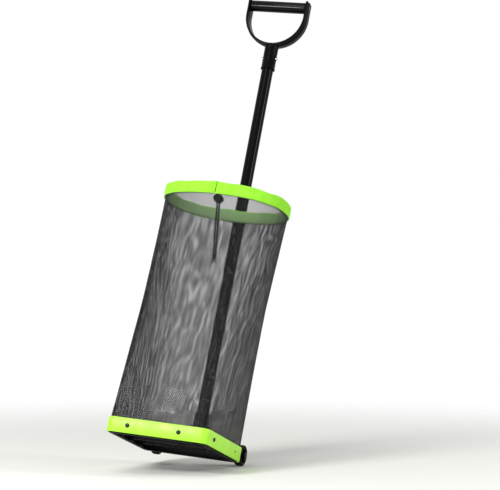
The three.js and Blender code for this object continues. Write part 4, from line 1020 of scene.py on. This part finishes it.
screwSizes = {
    "height": 14.8, "gap": 0.3, "frontLeft": -54.0, "frontRight": 42.0, "side": -62.0, "rivet": 52.0,
    "head": 3.8, "headHigh": 1.9, "shank": 3.0, "long": 9.4, "rivetHead": 1.8, "rivetShank": 1.0,
}
boltSizes = {
    "places": (-60.0, -34.0, 34.0, 60.0), "height": 16.0, "behind": 4.6, "head": 4.0, "headHigh": 2.6,
    "shank": 4.0, "long": 17.3, "poleHead": 4.3, "poleHeadHigh": 3.0, "poleShank": 5.0, "poleLong": 31.4,
    "poleFace": 14.2,
}


def makeFasteners():
    s, b = screwSizes, boltSizes
    across, front = bandSizes["width"] / 2 + s["gap"], -bandSizes["depth"] / 2 - s["gap"]

    def onSides(back):
        return [(onBase(way * across, back, s["height"]), (way, 0, 0)) for way in (-1, 1)]

    spots = [(onBase(s[k], front, s["height"]), (0, -1, 0)) for k in ("frontLeft", "frontRight")]
    names = [f"band_screw_{where}" for where in ("front_left", "front_right", "left", "right")]
    screw = panHead(s["head"], s["headHigh"], s["shank"], s["long"], "cross")
    makeFixings("bandScrews", screw, spots + onSides(s["side"]), *names)
    shank, head = s["rivetShank"], s["rivetHead"]
    profile = [(0, -s["long"]), (shank, -s["long"]), (shank, 0), (head - 0.05, 0), (head, 0.2)]
    profile += [(head - 0.3, 0.55), (head / 2, 0.75), (0, 0.8)]
    rivet = turnedPiece("rivetShape", profile, 24)
    makeFixings("bandRivets", rivet, onSides(s["rivet"]), "band_rivet_left", "band_rivet_right")
    behind = bandSizes["depth"] / 2 + b["behind"]
    spots = [(onBase(place, behind, b["height"]), (0, 1, 0)) for place in b["places"]]
    bolt = panHead(b["head"], b["headHigh"], b["shank"], b["long"], "six")
    makeFixings("bracketBolts", bolt, spots, *[f"bracket_bolt_{k}" for k in (1, 2, 3, 4)])
    spots = [(onBase(b["poleFace"], poleSizes["back"], poleSizes["boltHigh"]), (1, 0, 0))]
    bolt = panHead(b["poleHead"], b["poleHeadHigh"], b["poleShank"], b["poleLong"], "six")
    makeFixings("poleBolt", bolt, spots, "pole_bolt")


makeFasteners()

print("stage: rear bracket and wheels")
axleSizes = {"back": 123.0, "high": 19.0, "radius": 3.0, "half": 91.0, "gap": 0.3}
bracketSizes = {
    "half": 73.6, "front": 0.3, "thick": 4.0, "low": 3.4, "high": 25.4, "bore": 11.3, "outer": 13.9,
    "socketLow": 25.0, "socketFloor": 29.0, "socketHigh": 84.0, "lugThick": 8.0, "lugRadius": 7.5,
    "ribWide": 12.0, "ribTall": 26.0, "ribThick": 4.7, "ribBehind": 2.7,
}


def makeBracket():
    b, a = bracketSizes, axleSizes
    face, top = bandSizes["depth"] / 2 + b["front"], b["socketHigh"]
    low, high = onBase(-b["half"], face, b["low"]), onBase(b["half"], face + b["thick"], b["high"])
    back = beveled(makePiece("rearBracket", *blockShape(low, high)), 0.8, 3)
    bore, outer = b["bore"], b["outer"]
    profile = [(0, b["socketLow"]), (outer - 0.8, b["socketLow"]), (outer, b["socketLow"] + 0.8)]
    profile += [(outer, top - 0.8), (outer - 0.6, top), (bore + 0.3, top), (bore, top - 0.4)]
    profile += [(bore, b["socketFloor"]), (0, b["socketFloor"])]
    pieces = [turnedPiece("bracketSocket", profile, 64, upright(onBase(0, poleSizes["back"], 0)))]
    inner, wide, ribTop = outer - 4.1, outer + b["ribWide"], b["high"] + b["ribTall"]
    rib = [(inner, b["low"]), (wide, b["low"]), (wide, b["high"]), (outer - 1.7, ribTop), (inner, ribTop)]
    r = b["lugRadius"]
    lug = [(face + 2, b["low"] + 5.5), (a["back"] - 3, a["high"] - r + 0.1)]
    for angle in np.linspace(-math.pi / 2, math.pi / 2, 25):
        lug.append((a["back"] + r * math.cos(angle), a["high"] + r * math.sin(angle)))
    lug.append((face + 2, b["high"]))
    for sign, start in ((-1, -b["half"]), (1, b["half"] - b["lugThick"])):
        at = axes((1, 0, 0), (0, 0, 1), (0, 1, 0), onBase(0, face + b["ribBehind"], 0))
        shape = prismShape([(sign * across, up) for across, up in rib], 0, b["ribThick"], at)
        pieces.append(beveled(makePiece("bracketRib", *shape), 0.5))
        at = axes((0, 1, 0), (0, 0, 1), (1, 0, 0), onBase(start, 0, 0))
        solid = beveled(makePiece("bracketLug", *prismShape(lug, 0, b["lugThick"], at)), 0.7)
        at = alongX(onBase(start, a["back"], a["high"]))
        pieces.append(carved(solid, plug(a["radius"] + a["gap"], -2, 10, 32, at)))
    dress(shadeByAngle(joinedTo(back, pieces), 40), "black_moulding", frameNylon, "rear_bracket")


makeBracket()
wheelSizes = {
    "radius": 19.0, "width": 13.0, "tyre": 3.6, "rim": 15.1, "start": 75.2, "spokes": 6, "boss": 5.6,
    "holes": 2.1, "washer": 5.6, "washerStart": 73.9, "capStart": 88.5, "capRadius": 6.0,
}


def makeWheel(label, sign):
    s, bore, body = wheelSizes, axleSizes["radius"] + axleSizes["gap"], f"wheel_{label}"
    half, inner, outer = s["width"] / 2, s["radius"] - s["tyre"], s["radius"]

    def along(start):
        # the axle's line, from a distance off the middle outwards
        place = alongX(onBase(0, axleSizes["back"], axleSizes["high"]), sign)
        return place @ upright((0, 0, start))

    middle = along(s["start"] + half)
    # half a tread with one groove and half of the middle one, then the sidewall
    profile = [(outer - 0.5, 0.3), (outer, 0.45), (outer, 1.75), (outer - 0.5, 1.9), (outer - 0.5, 2.5)]
    profile += [(outer, 2.65), (outer - 0.05, half - 2.2), (outer - 0.5, half - 0.9)]
    profile += [(outer - 1.9, half - 0.1), (inner + 1.3, half), (inner, 5.3)]
    tyre = turnedPiece(f"wheelTyre_{label}", looped(mirrored(profile)), 72, middle)
    dress(tyre, "black_rubber", tyreRubber, f"wheel_tyre_{label}", body=body)
    rim, boss = s["rim"], s["boss"]
    profile = [(rim, 5.1), (rim - 0.2, 5.3), (rim - 1.9, 5.3), (rim - 2.3, 5.0), (rim - 2.8, 2.0)]
    profile += [(boss + 0.3, 2.2), (boss, half - 0.3), (boss - 0.3, half), (bore, half)]
    hub = turnedPiece(f"wheelHub_{label}", looped(mirrored(profile)), 64, middle, sharpAngle=30)
    holes, reach = [], (boss + rim - 2.4) / 2
    for k in range(s["spokes"]):
        angle = turn * (k + 0.5) / s["spokes"]
        at = middle @ upright((reach * math.cos(angle), reach * math.sin(angle), 0))
        holes.append(plug(s["holes"], -8, 8, 24, at))
    carved(hub, *holes, sharpAngle=30)
    dress(hub, "black_plastic", frameNylon, f"wheel_hub_{label}", body=body)
    r = s["capRadius"]
    profile = [(0, 2.8), (bore, 2.8), (bore, 0), (r - 0.2, 0), (r, 0.2), (r, 2.4), (r - 0.4, 3.2)]
    profile += [(r - 1.6, 3.85), (r / 2, 4.0), (0, 4.0)]
    cap = turnedPiece(f"axleCap_{label}", profile, 40, along(s["capStart"]))
    dress(cap, "black_plastic", gripPlastic, f"axle_cap_{label}")
    r = s["washer"]
    profile = [(bore, 0), (r - 0.15, 0), (r, 0.15), (r, 0.85), (r - 0.15, 1), (bore, 1)]
    washer = turnedPiece(f"axleWasher_{label}", looped(profile), 40, along(s["washerStart"]))
    dress(washer, "bright_steel", nickelPlate, f"axle_washer_{label}")


def makeAxle():
    half, r = axleSizes["half"], axleSizes["radius"]
    at = alongX(onBase(0, axleSizes["back"], axleSizes["high"]))
    profile = mirrored([(r, half - 0.4), (r - 0.4, half), (0, half)])
    dress(turnedPiece("axleRod", profile, 40, at, sharpAngle=35), "bright_steel", nickelPlate, "axle")


makeWheel("left", -1)
makeWheel("right", 1)
makeAxle()

print("stage: pole and grip")
gripSizes = {
    "outer": 61.0, "rib": 1.2, "strip": 4.0, "deep": 26.0, "ribWide": 9.0, "low": 797.8, "bar": 880.0,
    "barRadius": 10.75, "barHalf": 55.5, "rod": 2.5, "rodHead": 4.5, "sleeve": 13.0, "sleeveBore": 11.3,
    "sleeveLow": 752.1, "lip": 0.7, "buttonHigh": 774.6, "buttonHole": 3.1, "gap": 0.3, "round": 1.2,
    "headSunk": 2.0, "headLong": 1.5,
}


def onPole(height):
    return onBase(0, poleSizes["back"], height)


def makePole():
    s = poleSizes
    r, inner, low, high = s["radius"], s["radius"] - s["wall"], s["low"], s["high"]
    profile = [(inner, low), (r - 0.2, low), (r, low + 0.2), (r, high - 0.4), (r - 0.4, high)]
    pole = turnedPiece("poleTube", looped(profile + [(inner, high)]), 72, upright(onPole(0)))
    holes = ((gripSizes["buttonHole"], gripSizes["buttonHigh"]), (s["boltHole"], s["boltHigh"]))
    carved(pole, *[plug(radius, -16, 16, 32, alongX(onPole(height))) for radius, height in holes])
    dress(pole, "black_powder_coat", powderCoat, "pole")


makePole()


def yokeStrip():
    # the strip's section carried down one arm, round the half circle and up the other
    g = gripSizes
    middle, top = g["low"] + g["outer"], g["bar"] + g["barRadius"]
    radius = g["outer"] - g["rib"] - g["strip"] / 2  # the strip's middle line
    h, t, w, e = g["deep"] / 2, g["strip"] / 2, g["ribWide"] / 2, g["round"]
    half = [(t + g["rib"], w - 0.5), (t + g["rib"] - 0.3, w + 0.2), (t, w + 0.9), (t, h - e)]
    half += [(t - 0.35, h - 0.35), (t - e, h), (e - t, h), (0.35 - t, h - 0.35), (-t, h - e)]
    arm = np.linspace(top, middle + 3, 6)
    path = [(-radius, z, -1, 0) for z in arm]
    for a in np.linspace(math.pi, turn, 61):
        path.append((radius * math.cos(a), middle + radius * math.sin(a), math.cos(a), math.sin(a)))
    path += [(radius, z, 1, 0) for z in arm[::-1]]
    rings = []
    for x, z, outX, outZ in path:
        rings.append([onBase(x + a * outX, poleSizes["back"] + b, z + a * outZ) for a, b in mirrored(half)])
    return beveled(makePiece("gripYoke", *skinned(rings), sharpAngle=50), 0.8, 3, 60)


def makeYoke():
    g = gripSizes
    outer, bore, low, high, gap = g["sleeve"], g["sleeveBore"], g["sleeveLow"], g["low"], g["gap"]
    lip = outer + g["lip"]
    profile = [(0, high), (bore, high), (bore, low), (lip - 0.3, low), (lip, low + 0.3), (lip, low + 2.1)]
    profile += [(outer, low + 3), (outer, high - 1.7), (outer + 0.5, high), (outer + 0.5, high + 2.2)]
    sleeve = turnedPiece("yokeSleeve", profile + [(0, high + 2.2)], 72, upright(onPole(0)))
    carved(sleeve, plug(g["buttonHole"], -20, 20, 32, alongX(onPole(g["buttonHigh"]))))
    barAt = alongX(onPole(g["bar"]))
    strip, sunk, rod, head = yokeStrip(), g["outer"] - g["headSunk"], g["rod"], g["rodHead"]
    ends = (barAt, alongX(onPole(g["bar"]), -1))
    carved(strip, *[plug(head + gap, sunk, sunk + 5, 32, at) for at in ends])
    carved(strip, plug(rod + gap, -70, 70, 32, barAt))
    dress(shadeByAngle(joinedTo(strip, [sleeve]), 38), "black_plastic", yokePlastic, "d_yoke")
    half, r = g["barHalf"], g["barRadius"]
    profile = [(r, half - 1.9), (r - 0.1, half - 1.0), (r - 0.55, half - 0.3), (r - 1.45, half)]
    bar = turnedPiece("gripBar", looped(mirrored(profile + [(rod + gap, half)])), 72, barAt)
    dress(bar, "black_plastic", gripPlastic, "grip_bar")
    out, start = g["outer"], g["outer"] - g["headLong"]
    profile = [(rod, start), (head, start), (head, out - 0.9), (head - 0.1, out - 0.4), (head - 0.6, out)]
    pin = turnedPiece("gripRod", mirrored(profile + [(0, out)]), 40, barAt)
    dress(pin, "black_screw", blackOxide, "grip_rod")


makeYoke()
buttonSizes = {"radius": 2.8, "tip": 16.3, "inner": 6.8, "flange": 3.9, "flangeHigh": 1.0}


def makeButtons():
    b = buttonSizes
    r, tip, inner, seat = b["radius"], b["tip"], b["inner"], b["inner"] + b["flangeHigh"]
    profile = [(0, inner), (b["flange"], inner), (b["flange"], seat), (r, seat)]
    dome = ((1, 2.0), (0.97, 1.4), (0.86, 0.85), (0.68, 0.45), (0.4, 0.13), (0, 0))
    profile += [(r * share, tip - down) for share, down in dome]
    for label, sign in (("left", -1), ("right", 1)):
        at = alongX(onPole(gripSizes["buttonHigh"]), sign)
        button = turnedPiece(f"snapButton_{label}", profile, 40, at)
        dress(button, "bright_steel", nickelPlate, f"snap_button_{label}", body=f"button_{label}")


makeButtons()

print("stage: cord lock")
lockSizes = {
    "radius": 7.75, "far": -9.45, "near": 5.05, "round": 3.0, "bore": 5.5, "floor": 1.2, "slot": 1.9,
    "plunger": 5.2, "plungerLow": -3.1, "plungerSlot": 4.5, "button": 6.5, "buttonLow": 7.95,
    "buttonHigh": 11.55, "springRadius": 3.25, "springWire": 0.25, "springCurls": 3, "springSteps": 90,
    "springEase": 10, "gap": 0.3,
}


def makeLock():
    s = lockSizes
    at = axes(hangAcross, -hangUp, hangIn, lockPlace)  # local Z runs along the plunger

    def slotUpTo(high):
        points, faces = blockShape((-4, -18, -s["slot"]), (4, 18, high))
        return moved(points, at), faces

    far, near, curve, bore, floor = s["far"], s["near"], s["round"], s["bore"], s["far"] + s["floor"]
    core = s["radius"] - curve
    profile = [(0, far)]
    for a in np.linspace(0, math.pi / 2, 8):
        profile.append((core + curve * math.sin(a), far + curve - curve * math.cos(a)))
    for a in np.linspace(0, math.pi / 3, 6):
        profile.append((core + curve * math.cos(a), near - curve + curve * math.sin(a)))
    profile += [(bore + 0.5, near), (bore, near - 0.5), (bore, floor), (0, floor)]
    barrel = carved(turnedPiece("lockBarrel", profile, 56, at), slotUpTo(s["slot"]))
    dress(barrel, "black_plastic", yokePlastic, "cord_lock_body", body="cord_lock")
    wide, low, high, stem = s["button"], s["buttonLow"], s["buttonHigh"], s["plunger"]
    profile = [(0, s["plungerLow"]), (stem, s["plungerLow"]), (stem, low), (wide - 0.2, low)]
    profile += [(wide, low + 0.2), (wide, high - 0.95), (wide - 0.3, high - 0.35), (wide - 1, high)]
    plunger = turnedPiece("lockPlunger", profile + [(0, high)], 48, at)
    carved(plunger, slotUpTo(s["plungerSlot"]))
    dress(plunger, "black_plastic", yokePlastic, "cord_lock_plunger", body="cord_lock_button")
    steps, last = np.arange(s["springSteps"]), s["springSteps"] - 1
    angle = steps / last * s["springCurls"] * turn
    ease = s["springRadius"] * np.clip(np.minimum(steps, last - steps) / s["springEase"], 0, 1)
    reach = np.linspace(floor + s["gap"], s["plungerLow"] - s["gap"], s["springSteps"])
    line = np.c_[ease * np.sin(angle), -ease * np.cos(angle), reach]
    wire = twistedTube(moved(line, at), s["springWire"], 1, 1000, 8, 0.7, depth=0.0)
    spring = makePiece("lockSpring", *wire, sharpAngle=60)
    dress(spring, "spring_steel", springCoat, "cord_lock_spring", body="cord_lock")
    return barrel, plunger, spring


lockPieces = makeLock()

print("stage: carried-over parts")
carried = {f"bracket_nut_{k}": blackOxide for k in (1, 2, 3, 4)}
carried |= {"pole_nut": blackOxide, "snap_clip": springCoat}
for name, material in carried.items():
    node = bpy.data.objects[name]
    if not node.material_slots:
        node.data.materials.append(material)
    for slot in node.material_slots:
        slot.material = material

print("stage: light and floor")
floorSizes = {"half": 9.0, "below": -0.0346, "full": 0.4, "gone": 1.7}
lampValues = {"world": 0.42, "key": 22, "front": 23, "side": 12, "aim": (0, 0, 0.45)}


def makeFloor():
    # a plane under the wheels, square to the photograph's own upright, seen from above only
    middle, half = viewUp * floorSizes["below"], floorSizes["half"]
    level = viewUp.cross(viewRight).normalized()
    turns = ((-1, -1), (1, -1), (1, 1), (-1, 1))
    corners = [middle + (viewRight * across + level * along) * half for across, along in turns]
    mesh = bpy.data.meshes.new("floor")
    mesh.from_pydata([tuple(c) for c in corners], [], [(0, 1, 2, 3)])
    if mesh.polygons[0].normal.dot(viewUp) < 0:
        mesh.flip_normals()
    # matt white that fades out far away, so that no edge shows
    material, tree, shader = newMaterial("studioFloor", 0.9, 0.1)
    out = next(n for n in tree.nodes if n.type == "OUTPUT_MATERIAL")
    wired(tree, shader, {"Base Color": linear("#fbfbf6")})
    clear = addNode(tree, "ShaderNodeBsdfTransparent")
    behind = addNode(tree, "ShaderNodeNewGeometry").outputs["Backfacing"]
    place = addNode(tree, "ShaderNodeTexCoord").outputs["Object"]
    away = addNode(tree, "ShaderNodeVectorMath", {0: place}, operation="LENGTH").outputs["Value"]
    bounds = {"Value": away, "From Min": floorSizes["full"], "From Max": floorSizes["gone"]}
    faded = addNode(tree, "ShaderNodeMapRange", bounds, interpolation_type="SMOOTHSTEP").outputs["Result"]
    unseen = maths(tree, "MAXIMUM", behind, faded)
    wired(tree, out, {"Surface": addNode(tree, "ShaderNodeMixShader", {0: unseen, 1: shader, 2: clear})})
    mesh.materials.append(material)
    newObject("floor", mesh)


def makeWorld():
    # white to the eye and in reflections, dimmer as light
    world = bpy.data.worlds.new("studio")
    scene.world = world
    world.use_nodes = True
    tree = world.node_tree
    tree.nodes.clear()
    soft, white = (
        addNode(tree, "ShaderNodeBackground", {"Color": (1, 1, 1, 1), "Strength": strength})
        for strength in (lampValues["world"], 1.0)
    )
    ray = addNode(tree, "ShaderNodeLightPath").outputs
    reflected = maths(tree, "MAXIMUM", ray["Is Glossy Ray"], ray["Is Transmission Ray"])
    seen = maths(tree, "MAXIMUM", ray["Is Camera Ray"], reflected)
    mixed = addNode(tree, "ShaderNodeMixShader", {0: seen, 1: soft, 2: white})
    addNode(tree, "ShaderNodeOutputWorld", {"Surface": mixed})


def makeLamp(name, across, above, back, size, power):
    # a soft lamp placed across, above and towards the camera from the hopper's middle
    target = Vector(lampValues["aim"])
    place = target + viewRight * across + viewUp * above + viewBack * back
    data = bpy.data.lights.new(name, "AREA")
    data.shape = "RECTANGLE"
    data.size, data.size_y = size
    data.energy = power
    turned = (place - target).to_track_quat("Z", "Y").to_matrix().to_4x4()
    newObject(name, data).matrix_world = Matrix.Translation(place) @ turned


makeFloor()
makeWorld()
makeLamp("keyLamp", -0.8, 2.2, 1.6, (1.2, 1.2), lampValues["key"])
makeLamp("frontLamp", -1.17, 0.65, 1.35, (0.55, 0.4), lampValues["front"])
makeLamp("sideLamp", 1.83, 0.62, 0.68, (0.4, 0.6), lampValues["side"])
